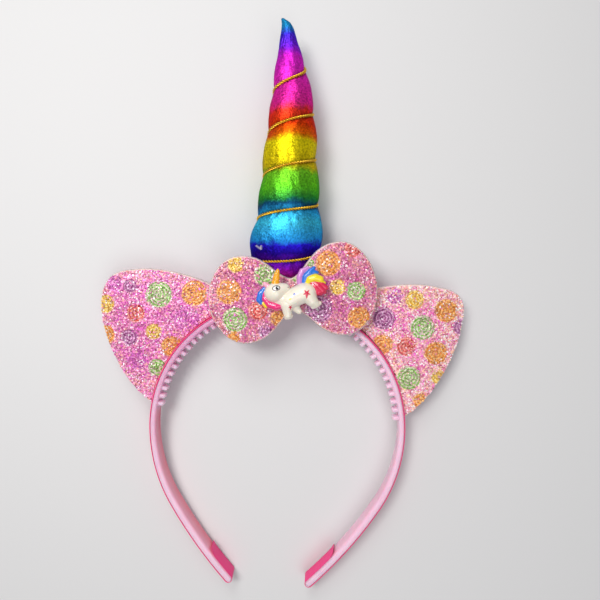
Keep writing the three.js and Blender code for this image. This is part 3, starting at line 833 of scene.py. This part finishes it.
def turned(points, angle):
    """Points turned about +Z by an angle in radians."""
    c, s = math.cos(angle), math.sin(angle)
    return points @ np.array(((c, s, 0), (-s, c, 0), (0, 0, 1)))


for side, turn in EAR_TURNS.items():
    ear = make_glitter_pad(
        f"glitter_ear_{side}", ear_outline(EAR_FULLER[side]), EAR_LOFT, EAR_GROUNDS[side], EAR_SWIRLS[side],
        lambda points: turned(points, math.radians(turn)), EAR_SEEDS[side],
    )
    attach(ear, "root")
    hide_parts(f"ear_{side}")

# The horn is a cone of rainbow foil cloth stuffed with wadding, and its foot is glued on the crown of the
# ribbon. The foil is a printed metal film on a knit, so it creases finely and shines in soft patches, and
# its gold cord pulls it into puffs. A nick by the foot shows the white knit.
HORN_SEAT = 61.8
# height above the ribbon, half width, half depth, lean to the side
HORN_TABLE = np.array((
    (-12, 14, 5.4, 4.6), (0, 15.8, 6.4, 4.6), (14, 17.8, 8.8, 4.3), (28, 17.3, 12.2, 4.6),
    (46, 14.6, 14.2, 5.8), (66, 13.0, 12.9, 6.3), (85, 10.9, 10.9, 7.1), (100, 8.7, 8.7, 6.9),
    (113, 5.8, 5.8, 5.9), (122, 3.5, 3.5, 5.4), (127, 2.2, 2.2, 4.6), (129.4, 0.8, 0.8, 3.0),
))
HORN_TOP = HORN_TABLE[-1, 0]
HORN_ROWS = 340
HORN_SIDES = 180
FOOT_SHARES = (0.1, 0.4, 0.7)  # of the way out to the edge of the foot, one for each ring
CORD_ROUNDS = 8  # to find where the cord comes to lie
FOOT_ROUNDS = 5  # to find where the foot does
CORD_START = 20.2  # height of the cord as it first passes the horn's front, before its sag
CORD_PITCH = 20.4
CORD_CLOSING = 0.03  # the pitch shortens by this much per turn, twice over
# The cord climbs less in front than behind, and sags in front: height, slant and sag.
CORD_SLANT = ((20, 2.4, 2.9), (40, 1.7, 0.5), (62, 0.9, 0.6), (84, 0.3, 0.6), (105, -0.6, 2.5))
CORD_LAST_TURN = 4.6
CORD_FADE = 0.5  # turns past the end of the cord over which its groove runs out
GROOVE_SHARE = 0.125
GROOVE_ROUNDING = 0.72
GATHER = 0.13  # height of the gathers beside the cord
GATHER_REACH = 0.13  # in turns of the cord
GATHER_RUN = (60, 0.35, 0.12)  # how the gathers run: round the horn, aslant and upwards
CREASE = 0.06
CREASE_STRETCH = (1, 0.55, 1)
LUMP = 0.15
# the wavelength of each and the seed of its chance
GATHER_WAVES = (2.6, 31)
CREASE_WAVES = (4.2, 32)
LUMP_WAVES = (15, 33)
SMOOTH_ENDS = (14, 3)  # how far from the tip and from the foot they all fade
PINCH_SHADE = 0.65  # painted shade: how much the foil is darkened in the groove beside the cord
PINCH_REACH = 0.062  # in turns of the cord
NICK = ((-9.3, 86.2), (-7.0, 84.6), (-7.0, 86.0))
NICK_WIDTH = 0.3
NICK_SOFTNESS = 1.5
# height at which each colour is full, foot to tip
RAINBOW = (
    (0, "7a0c5c"), (10.5, "86126a"), (13.5, "78109a"), (17, "5c14b4"), (21, "280e98"), (24.5, "2c1cdc"),
    (27, "2ca0f0"), (35, "48d0f6"), (40, "30a8e8"), (43, "185482"), (45.5, "2f9440"), (50, "66d02c"),
    (57, "80d62e"), (60.5, "e6cc18"), (66, "f4de16"), (71, "fbe816"), (74.5, "f4700e"), (79, "f0460e"),
    (85, "f63c2c"), (89, "fb32a8"), (102, "fa34d2"), (110, "ee2ee2"), (115, "862af4"), (121, "4834f0"),
    (125, "269cdc"), (130, "32aee4"),
)


def horn_section(up):
    """Half width, half depth and lean of the horn at heights above the ribbon."""
    heights, values = HORN_TABLE[:, 0], HORN_TABLE[:, 1:]
    rows = np.arange(len(values))
    before, after = np.maximum(rows - 1, 0), np.minimum(rows + 1, len(values) - 1)
    slopes = (values[after] - values[before]) / (heights[after] - heights[before])[:, None]
    k = np.searchsorted(heights, up).clip(1, len(heights) - 1)
    span = (heights[k] - heights[k - 1])[..., None]
    t = (up - heights[k - 1])[..., None] / span
    blend = (
        (1 + 2 * t) * (1 - t) ** 2 * values[k - 1] + t * (1 - t) ** 2 * span * slopes[k - 1]
        + t ** 2 * (3 - 2 * t) * values[k] + t ** 2 * (t - 1) * span * slopes[k]
    )
    return np.moveaxis(blend, -1, 0)


def cord_sway(up, turn):
    """How far the cord's slant takes it below an even climb, at a height and a share of a turn."""
    heights, slants, sags = zip(*CORD_SLANT)
    slant, sag = np.interp(up, heights, slants), np.interp(up, heights, sags)
    return slant * np.sin(2 * np.pi * turn) + sag * np.cos(2 * np.pi * turn)


def cord_height(turns):
    """How high the cord is after a number of turns, counted at the horn's front."""
    even = CORD_START + CORD_PITCH * turns - CORD_CLOSING * turns ** 2
    up = even
    for settle in range(CORD_ROUNDS):
        up = even - cord_sway(up, turns)
    return up


def cord_turns(up, turn):
    """How many turns the cord has made by this height, on the side of the horn that turn gives."""
    half = CORD_PITCH / 2
    even = up + cord_sway(up, turn)
    return (half - np.sqrt(np.maximum(0, half ** 2 - CORD_CLOSING * (even - CORD_START)))) / CORD_CLOSING


def horn_point(up, turn, lift=0.0):
    """A point on the horn. turn is the share of a turn from the front to +X; lift is off the cloth."""
    half, depth, lean = horn_section(up)
    turns = cord_turns(up, turn)
    puff = np.abs(np.sin(np.pi * (turns - turn))) ** GROOVE_ROUNDING
    wound = 1 - np.clip((turns - CORD_LAST_TURN) / CORD_FADE, 0, 1)
    pulled = 1 - GROOVE_SHARE * (1 - puff) * wound
    return np.stack((
        lean + (half * pulled + lift) * np.sin(2 * np.pi * turn),
        HORN_SEAT + up,
        (depth * pulled + lift) * np.cos(2 * np.pi * turn),
    ), axis=-1)


horn_turn = np.arange(HORN_SIDES) / HORN_SIDES
foot_up = np.zeros(HORN_SIDES)
for settle in range(FOOT_ROUNDS):
    foot_up = np.sqrt(HORN_SEAT ** 2 - horn_point(foot_up, horn_turn)[:, 0] ** 2) - HORN_SEAT
horn_up = foot_up + (HORN_TOP - foot_up) * np.linspace(0, 1, HORN_ROWS)[:, None]
turn_grid = np.broadcast_to(horn_turn, horn_up.shape)
smooth_horn = horn_point(horn_up, turn_grid)
flat_places = smooth_horn.reshape(-1, 3)
turns_made = cord_turns(horn_up, turn_grid)
from_cord = np.abs((turns_made - turn_grid + 0.5) % 1 - 0.5)
beside_cord = np.exp(-(from_cord / GATHER_REACH) ** 2)
# painted shade in the groove beside the cord, stored for the foil
painted_cord_shade = np.exp(-(from_cord / PINCH_REACH) ** 2) * (turns_made < CORD_LAST_TURN)
round_run, slant_run, up_run = GATHER_RUN
slant = np.stack((turn_grid * round_run - horn_up * slant_run, horn_up * up_run), axis=-1).reshape(-1, 2)
gathers = ripples(slant, *GATHER_WAVES).reshape(horn_up.shape) * beside_cord * GATHER
creases = ripples(flat_places * CREASE_STRETCH, *CREASE_WAVES).reshape(horn_up.shape) * CREASE
lumps = ripples(flat_places, *LUMP_WAVES).reshape(horn_up.shape) * LUMP
near_tip = np.clip((HORN_TOP - horn_up) / SMOOTH_ENDS[0], 0, 1)
settled = near_tip * np.clip((horn_up - foot_up) / SMOOTH_ENDS[1], 0, 1)
horn_rings = horn_point(horn_up, turn_grid, (gathers + creases + lumps) * settled)
foot_rings = []
lean = horn_section(np.zeros(1))[2]
for share in FOOT_SHARES:
    x = lean + (horn_rings[0, :, 0] - lean) * share
    foot_rings.append(np.stack((x, np.sqrt(HORN_SEAT ** 2 - x ** 2), horn_rings[0, :, 2] * share), axis=1))
horn_points, horn_faces = loft(np.concatenate((np.array(foot_rings), horn_rings)))

foil, tree, shader = new_finish("rainbow_foil", Metallic=0.85, Specular_Tint=(0.12, 0.12, 0.15, 1))
foil_height = new_field(tree, "height")
foil_place = tree.nodes.new("ShaderNodeTexCoord")
foil_bleed = new_node(tree, "ShaderNodeTexNoise", Scale=160.0, Detail=4.0, Roughness=0.65)
foil_drift = new_node(tree, "ShaderNodeMapRange", To_Min=-0.025, To_Max=0.025)
foil_shift = tree.nodes.new("ShaderNodeMath")
rainbow = tree.nodes.new("ShaderNodeValToRGB")
foil_grain = new_node(tree, "ShaderNodeTexNoise", Scale=1100.0, Detail=3.0, Roughness=0.7)
foil_tone = new_node(tree, "ShaderNodeMapRange", From_Min=0.3, From_Max=0.7, To_Min=0.42, To_Max=1.28)
foil_cord_shade = new_field(tree, "painted_cord_shade")
foil_darkened = new_node(tree, "ShaderNodeMapRange", To_Min=1.0, To_Max=1.0 - PINCH_SHADE)
foil_shade = tree.nodes.new("ShaderNodeMath")
foil_shade.operation = "MULTIPLY"
foil_colour = tree.nodes.new("ShaderNodeVectorMath")
foil_colour.operation = "SCALE"
foil_worn = new_field(tree, "worn")
foil_knit = tree.nodes.new("ShaderNodeMix")
foil_knit.data_type = "RGBA"
foil_knit.inputs["B"].default_value = dye("e9e6f2")
foil_rough = new_node(tree, "ShaderNodeMapRange", To_Min=0.3, To_Max=0.52)
foil_relief = new_node(tree, "ShaderNodeBump", Distance=0.00025)
wire(
    tree,
    (foil_place, "Object", foil_bleed, "Vector"), (foil_place, "Object", foil_grain, "Vector"),
    (foil_bleed, "Fac", foil_drift, "Value"), (foil_height, "Fac", foil_shift, 0),
    (foil_drift, "Result", foil_shift, 1), (foil_shift, "Value", rainbow, "Fac"),
    (foil_grain, "Fac", foil_tone, "Value"), (rainbow, "Color", foil_colour, "Vector"),
    (foil_cord_shade, "Fac", foil_darkened, "Value"), (foil_tone, "Result", foil_shade, 0),
    (foil_darkened, "Result", foil_shade, 1), (foil_shade, "Value", foil_colour, "Scale"),
    (foil_worn, "Fac", foil_knit, "Factor"), (foil_colour, "Vector", foil_knit, "A"),
    (foil_knit, "Result", shader, "Base Color"), (foil_grain, "Fac", foil_rough, "Value"),
    (foil_rough, "Result", shader, "Roughness"), (foil_grain, "Fac", foil_relief, "Height"),
    (foil_relief, "Normal", shader, "Normal"),
)
stops = rainbow.color_ramp.elements
while len(stops) < len(RAINBOW):
    stops.new(1.0)
for stop, (height, code) in zip(stops, RAINBOW):
    stop.position = height / RAINBOW[-1][0]
    stop.color = dye(code)

horn = make_piece("foil_horn", horn_points, horn_faces, foil)
store(horn.data.attributes, "height", (horn_points[:, 1] - HORN_SEAT) / RAINBOW[-1][0])
first = len(foot_rings) * HORN_SIDES
cord_shade_values = np.zeros(len(horn_points))
cord_shade_values[first:first + painted_cord_shade.size] = painted_cord_shade.ravel()
store(horn.data.attributes, "painted_cord_shade", cord_shade_values)


def to_stroke(points, a, b):
    """How far points lie from the stretch between a and b, in the plane of the picture."""
    a, along = np.array(a, float), np.subtract(b, a, dtype=float)
    share = ((points[:, :2] - a) @ along / (along @ along)).clip(0, 1)
    return np.linalg.norm(points[:, :2] - a - share[:, None] * along, axis=1)


nick_distance = np.minimum(to_stroke(horn_points, *NICK[:2]), to_stroke(horn_points, *NICK[1:]))
worn = (NICK_SOFTNESS - nick_distance / NICK_WIDTH).clip(0, 1) * (horn_points[:, 2] > 0)
store(horn.data.attributes, "worn", worn)
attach(horn, "root")
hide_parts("horn")

# The cord is two gold metallic strands twisted together and wound up the horn in the grooves it pulls,
# from behind the bow to the back of the tip. Both ends are stitched down.
STRAND_RADIUS = 0.34
STRAND_OFFSET = 0.35
STRAND_SIDES = 7
TWIST_LENGTH = 2.8
CORD_STEP = 0.3
CORD_SAMPLES = 6000
CORD_FIRST_TURN = -0.3
CORD_LIFT = 0.35

turns = np.linspace(CORD_FIRST_TURN, CORD_LAST_TURN, CORD_SAMPLES)
fine = horn_point(cord_height(turns), turns, CORD_LIFT)
walked = walked_along(fine)
places = np.arange(0, walked[-1], CORD_STEP)
route = np.stack([np.interp(places, walked, column) for column in fine.T], axis=1)
along = unit(np.gradient(route, axis=0))
axis = np.stack((horn_section(route[:, 1] - HORN_SEAT)[2], route[:, 1], np.zeros(len(route))), axis=1)
away = route - axis
away = unit(away - (away * along).sum(axis=1, keepdims=True) * along)
beside = np.cross(along, away)
strands = []
for start in (0, math.pi):
    twist = start + 2 * math.pi * places / TWIST_LENGTH
    middle = route + STRAND_OFFSET * (np.cos(twist)[:, None] * away + np.sin(twist)[:, None] * beside)
    angle = np.arange(STRAND_SIDES) * 2 * math.pi / STRAND_SIDES
    strands.append(loft(
        middle[:, None]
        + STRAND_RADIUS * np.cos(angle)[None, :, None] * away[:, None]
        + STRAND_RADIUS * np.sin(angle)[None, :, None] * beside[:, None]
    ))
gold, tree, shader = new_finish("gold_thread", Metallic=0.8)
add_mottle(tree, shader, 0.00003, Colour=dye("ffd94a"), Drift=dye("d79a12"), Blotch_Scale=500.0,
           Grain_Scale=4000.0, Smoothest=0.28, Roughest=0.5)
cord = make_piece("gold_cord", *joined(strands), gold)
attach(cord, "root")
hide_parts("horn_cord")

# The bow is one padded piece of the same glitter cloth as the ears, two round lobes that run together at a
# narrow neck. It is glued over the foot of the horn, on the front edges of the band and ribbon.
BOW_CENTRE = (7.6, 64, 10.3)
BOW_TURN = math.radians(6.7)
BOW_HALF = 38.8
BOW_LOBES = ((23, 21.5), (23, 20.2))  # the highest point of the right and of the left lobe
BOW_NECK = 7.4
BOW_NECK_REACH = (7, 8.8)  # how the neck runs out before it opens into a lobe
BOW_ROUNDNESS = (9.7, 32)  # of a lobe, towards the neck and towards its end
BOW_SEED = 40
BOW_LOFT = (3.6, 2.2)  # to the front and to the back
# the pale rim, and the tint of the whole, which is painted shade that darkens the bow's cloth
BOW_GROUND = (7.0, (0.81, 0.70, 0.71))
# The swirls, from the bow's centre along it: x, y, radius and colour.
BOW_SWIRLS = (
    (-24, 16.5, 3.8, "yellow"), (-28.5, 4.5, 5.7, "orange"), (-11.5, 10, 4.9, "green"),
    (-27.5, -8.5, 5.6, "green"), (-16.5, -5.5, 4.4, "red"), (-8, -10, 3.5, "orange"),
    (-29, -16.5, 3, "orange"), (-14.5, -15.5, 3, "purple"), (17.5, 12, 5.6, "orange"),
    (29, 17, 3.7, "red"), (20.5, 1, 3.6, "yellow"), (28.5, -2, 4.3, "green"),
    (28.5, -14, 5, "orange"), (11, -8, 6.2, "purple"), (9.5, 13, 1.8, "green"), (2, 7, 1.8, "green"),
)


def lobe_outline(x, y):
    """Round the right-hand lobe of the bow, from the bottom of the neck to its top."""
    reach_x, reach_y = BOW_NECK_REACH
    inner, outer = BOW_ROUNDNESS
    return np.concatenate((
        bezier((0, -BOW_NECK), (reach_x, -reach_y), (inner, -y), (x, -y)),
        bezier((x, -y), (outer, -y), (BOW_HALF, -y / 2), (BOW_HALF, 0)),
        bezier((BOW_HALF, 0), (BOW_HALF, y / 2), (outer, y), (x, y)),
        bezier((x, y), (inner, y), (reach_x, reach_y), (0, BOW_NECK)),
    ))


def bow_to_headband(points):
    """Takes points of the bow's own frame to the headband's."""
    return turned(points, BOW_TURN) + BOW_CENTRE


right_lobe, left_lobe = (lobe_outline(*lobe) for lobe in BOW_LOBES)
bow_outline = np.concatenate((right_lobe, -left_lobe))
bow = make_glitter_pad(
    "glitter_bow", bow_outline, BOW_LOFT, BOW_GROUND, BOW_SWIRLS, bow_to_headband, BOW_SEED,
)
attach(bow, "root")
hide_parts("bow")

# The charm is a small unicorn cast in white resin with a flat back, painted by hand in gloss colours and
# glued on the neck of the bow. Its limbs run together as they do in a casting.
CHARM_CENTRE = np.array((7.6, 64, 15.0))  # the bow's centre, at the charm's flat back
CHARM_GRAIN = 0.00018  # metres between the points of the casting
BALL_STEP = 0.4  # between two balls of a limb, at most
SOFTENING = 0.5
SOFTENING_ROUNDS = 5
# paint, then balls: x, y, height and radius
CHARM_LIMBS = (
    ("white", ((-8.4, 0.9, 2.4, 4.0), (-7.6, 1.1, 2.6, 4.3), (-4.6, 2.5, 2.5, 2.9), (-3.4, 2.9, 2.4, 2.3))),
    ("horn", ((-7.4, 5.4, 3.0, 1.85), (-7.2, 6.6, 3.0, 1.25), (-7.1, 7.3, 3.0, 1.65),
              (-6.9, 8.4, 2.9, 1.0), (-6.8, 9.0, 2.9, 1.35), (-6.6, 9.9, 2.8, 0.75),
              (-6.5, 10.3, 2.8, 0.95), (-6.4, 11.2, 2.7, 0.45))),
    ("blush", ((-10.8, 3.8, 2.8, 1.3), (-12.2, 4.9, 2.9, 1.0))),
    ("white", ((-6.0, -1.6, 1.4, 3.2), (-1.4, -2.4, 1.8, 3.9))),
    ("white", ((-1.2, -2.4, 2.0, 4.2), (2.0, -0.4, 2.1, 4.4), (5.2, 0.8, 2.1, 4.5), (6.4, 0.9, 2.0, 4.2))),
    ("white", ((7.0, -0.4, 2.6, 3.5), (8.6, -2.6, 2.6, 2.7), (10.2, -4.0, 2.4, 1.9))),
    ("white", ((9.0, -5.2, 2.2, 1.1), (10.4, -4.5, 2.3, 1.4), (11.8, -3.7, 2.2, 1.1))),
    ("white", ((-2.3, -4.0, 2.8, 3.1), (-2.3, -7.0, 2.7, 2.2), (-2.0, -9.0, 2.6, 1.8))),
    ("white", ((-2.7, -9.9, 2.3, 1.1), (-1.5, -9.6, 2.4, 1.3), (-0.7, -9.3, 2.2, 1.0))),
    ("white", ((0.8, -4.6, 1.6, 2.5), (1.9, -6.3, 1.6, 1.7), (2.9, -7.3, 1.5, 1.4))),
    ("blue", ((-12.4, 2.8, 1.8, 0.9), (-14.2, 0.4, 1.7, 1.3), (-14.8, -2.2, 1.6, 1.4),
              (-13.9, -3.6, 1.5, 0.9))),
    ("yellow", ((-12.9, -3.8, 1.7, 0.8), (-11.7, -5.2, 1.6, 0.8))),
    ("pink", ((-12.5, 1.6, 1.6, 0.9), (-12.1, -1.8, 2.0, 1.3), (-10.0, -4.3, 2.2, 1.6),
              (-7.4, -5.0, 2.4, 1.9), (-6.0, -4.8, 2.4, 1.6), (-7.1, -6.4, 1.8, 1.0))),
    ("lilac", ((3.1, 5.0, 1.6, 1.2), (3.0, 7.8, 1.7, 1.3), (4.2, 10.5, 1.7, 1.3), (6.9, 11.9, 1.6, 0.8))),
    ("blue", ((5.0, 5.4, 1.9, 1.0), (5.6, 8.0, 2.0, 1.3), (7.6, 9.9, 2.1, 1.4), (9.5, 12.0, 1.9, 0.7))),
    ("blue", ((7.6, 9.7, 2.1, 1.3), (9.6, 10.1, 2.0, 1.0), (11.0, 9.8, 1.9, 0.6))),
    ("yellow", ((6.4, 5.2, 2.2, 1.0), (7.6, 7.0, 2.3, 1.6), (10.0, 7.5, 2.4, 1.8), (12.2, 6.9, 2.3, 1.6),
                (12.9, 5.8, 2.2, 1.0), (14.3, 5.3, 2.0, 0.5))),
    ("red", ((8.6, 5.2, 2.2, 1.1), (9.7, 3.3, 2.4, 1.5), (11.3, 1.3, 2.3, 1.6), (12.5, 0.5, 2.0, 0.9))),
    ("red", ((9.4, 5.4, 2.4, 1.1), (11.2, 3.9, 2.7, 1.6), (13.0, 2.0, 2.5, 1.6), (14.2, 1.2, 2.1, 0.9))),
    ("red", ((10.6, 5.4, 2.3, 1.0), (12.7, 4.4, 2.4, 1.4), (14.4, 3.2, 2.2, 1.3), (15.3, 2.9, 1.9, 0.7))),
)
CREASE_PAINTED_SHADE = 0.45  # painted shade: how much the creases between limbs are darkened
CREASE_WIDTH = 0.3
CREASE_LIFT = 0.05  # only where the casting stands this far off its limbs
PAINTED_ABOVE = 1.5  # height over the flat back where the painted details start
CHARM_PAINTS = {
    "white": "f0e8d8", "blush": "f3a9c2", "horn": "f5a80f", "blue": "1f74dc", "yellow": "f4dc1e",
    "pink": "ef2f7e", "lilac": "cf86cf", "red": "da1c50",
}
# Dabs on the white, the eye first: x, y, half width, half height, colour and turn in degrees.
CHARM_SPOTS = (
    (-7.0, 3.05, 1.75, 1.2, "2a2430", 8), (-7.0, 3.05, 1.4, 0.9, "f6f4f2", 8),
    (-6.6, 3.1, 0.62, 0.8, "17141c", 0), (-6.25, 3.5, 0.3, 0.3, "ffffff", 0),
    (-1.9, 3.4, 0.3, 0.25, "b98f94", 0), (0.9, 0.4, 0.5, 0.5, "3358d8", 0),
    (-1.1, -1.6, 0.6, 0.45, "f1df58", 0),
)
CHARM_STARS = ((6.2, 0.9, 2.0), (-0.9, -5.2, 1.15))  # x, y and reach
STAR_DYE = "dd2a50"
STAR_POINTS = 5
STAR_SHAPE = (0.42, 0.58)  # the reach of its notches, and how much further its points go
STAR_LONG_POINT = (0.6, 1.25, 0.9)  # half its angle in radians, its stretch and that of the others


def ball_chain(balls):
    """Balls close together along a route whose radius changes."""
    chain = []
    for a, b in zip(balls, balls[1:]):
        a, b = np.array(a, float), np.array(b, float)
        steps = math.ceil(np.linalg.norm((b - a)[:3]) / BALL_STEP)
        chain += [a + (b - a) * share for share in np.linspace(0, 1, steps + 1)]
    return chain


unit_ball = bmesh.new()
bmesh.ops.create_icosphere(unit_ball, subdivisions=3, radius=1)
ball_points = np.array([corner.co[:] for corner in unit_ball.verts])
ball_faces = [[corner.index for corner in face.verts] for face in unit_ball.faces]
unit_ball.free()
charm_balls = [
    (CHARM_CENTRE + ball[:3] + ball_points * ball[3], ball_faces)
    for paint, balls in CHARM_LIMBS for ball in ball_chain(balls)
]

painted_resin, tree, shader = new_finish(
    "painted_resin", Coat_Weight=0.8, Coat_Roughness=0.08, Roughness=0.35,
    Subsurface_Weight=0.08, Subsurface_Scale=0.001,
)
feed_paint(tree, shader, "paint")
charm = make_piece("resin_unicorn", *joined(charm_balls), painted_resin)
casting = charm.modifiers.new("casting", "REMESH")
casting.mode = "VOXEL"
casting.voxel_size = CHARM_GRAIN
softening = charm.modifiers.new("softening", "SMOOTH")
softening.factor = SOFTENING
softening.iterations = SOFTENING_ROUNDS
apply_modifiers(charm)
charm.data.shade_smooth()

cast = lift_up(charm) - CHARM_CENTRE
cast[:, 2] = cast[:, 2].clip(0)
charm.data.vertices.foreach_set("co", set_down(cast + CHARM_CENTRE).ravel())


def limb_distance(points, balls):
    """How far points stand off the nearest ball of a limb."""
    nearest = np.full(len(points), np.inf)
    for ball in ball_chain(balls):
        nearest = np.minimum(nearest, np.linalg.norm(points - ball[:3], axis=1) - ball[3])
    return nearest


limb_distances = np.array([limb_distance(cast, balls) for paint, balls in CHARM_LIMBS])
limb_of = np.argmin(limb_distances, axis=0)
paints = np.array([dye(CHARM_PAINTS[paint]) for paint, balls in CHARM_LIMBS])[limb_of]
is_white = np.array([paint == "white" for paint, balls in CHARM_LIMBS])[limb_of]
in_front = cast[:, 2] > PAINTED_ABOVE
nearest, next_nearest = np.sort(limb_distances, axis=0)[:2]
# painted shade in the creases between limbs
crease_shade = np.exp(-((next_nearest - nearest) / CREASE_WIDTH) ** 2) * (nearest > CREASE_LIFT)
paints[:, :3] *= 1 - CREASE_PAINTED_SHADE * crease_shade[:, None]


def paint_spot(x, y, half_wide, half_high, code, turn):
    """An oval dab of paint on the white of the charm's front."""
    c, s = math.cos(math.radians(turn)), math.sin(math.radians(turn))
    along = ((cast[:, 0] - x) * c + (cast[:, 1] - y) * s) / half_wide
    across = ((cast[:, 1] - y) * c - (cast[:, 0] - x) * s) / half_high
    paints[is_white & in_front & (along ** 2 + across ** 2 < 1)] = dye(code)


def paint_star(x, y, reach):
    """A five-pointed star of paint, its long point hanging down."""
    apart = cast[:, :2] - (x, y)
    angle = np.arctan2(apart[:, 0], -apart[:, 1])
    point = np.abs((angle / (2 * math.pi) * STAR_POINTS + 0.5) % 1 - 0.5) * 2
    notch, more = STAR_SHAPE
    half_angle, long, short = STAR_LONG_POINT
    edge = reach * (notch + more * (1 - point) ** 2) * np.where(np.abs(angle) < half_angle, long, short)
    paints[is_white & in_front & (np.linalg.norm(apart, axis=1) < edge)] = dye(STAR_DYE)


for spot in CHARM_SPOTS:
    paint_spot(*spot)
for star in CHARM_STARS:
    paint_star(*star)
store(charm.data.color_attributes, "paint", paints)
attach(charm, "root")
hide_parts("unicorn_charm")
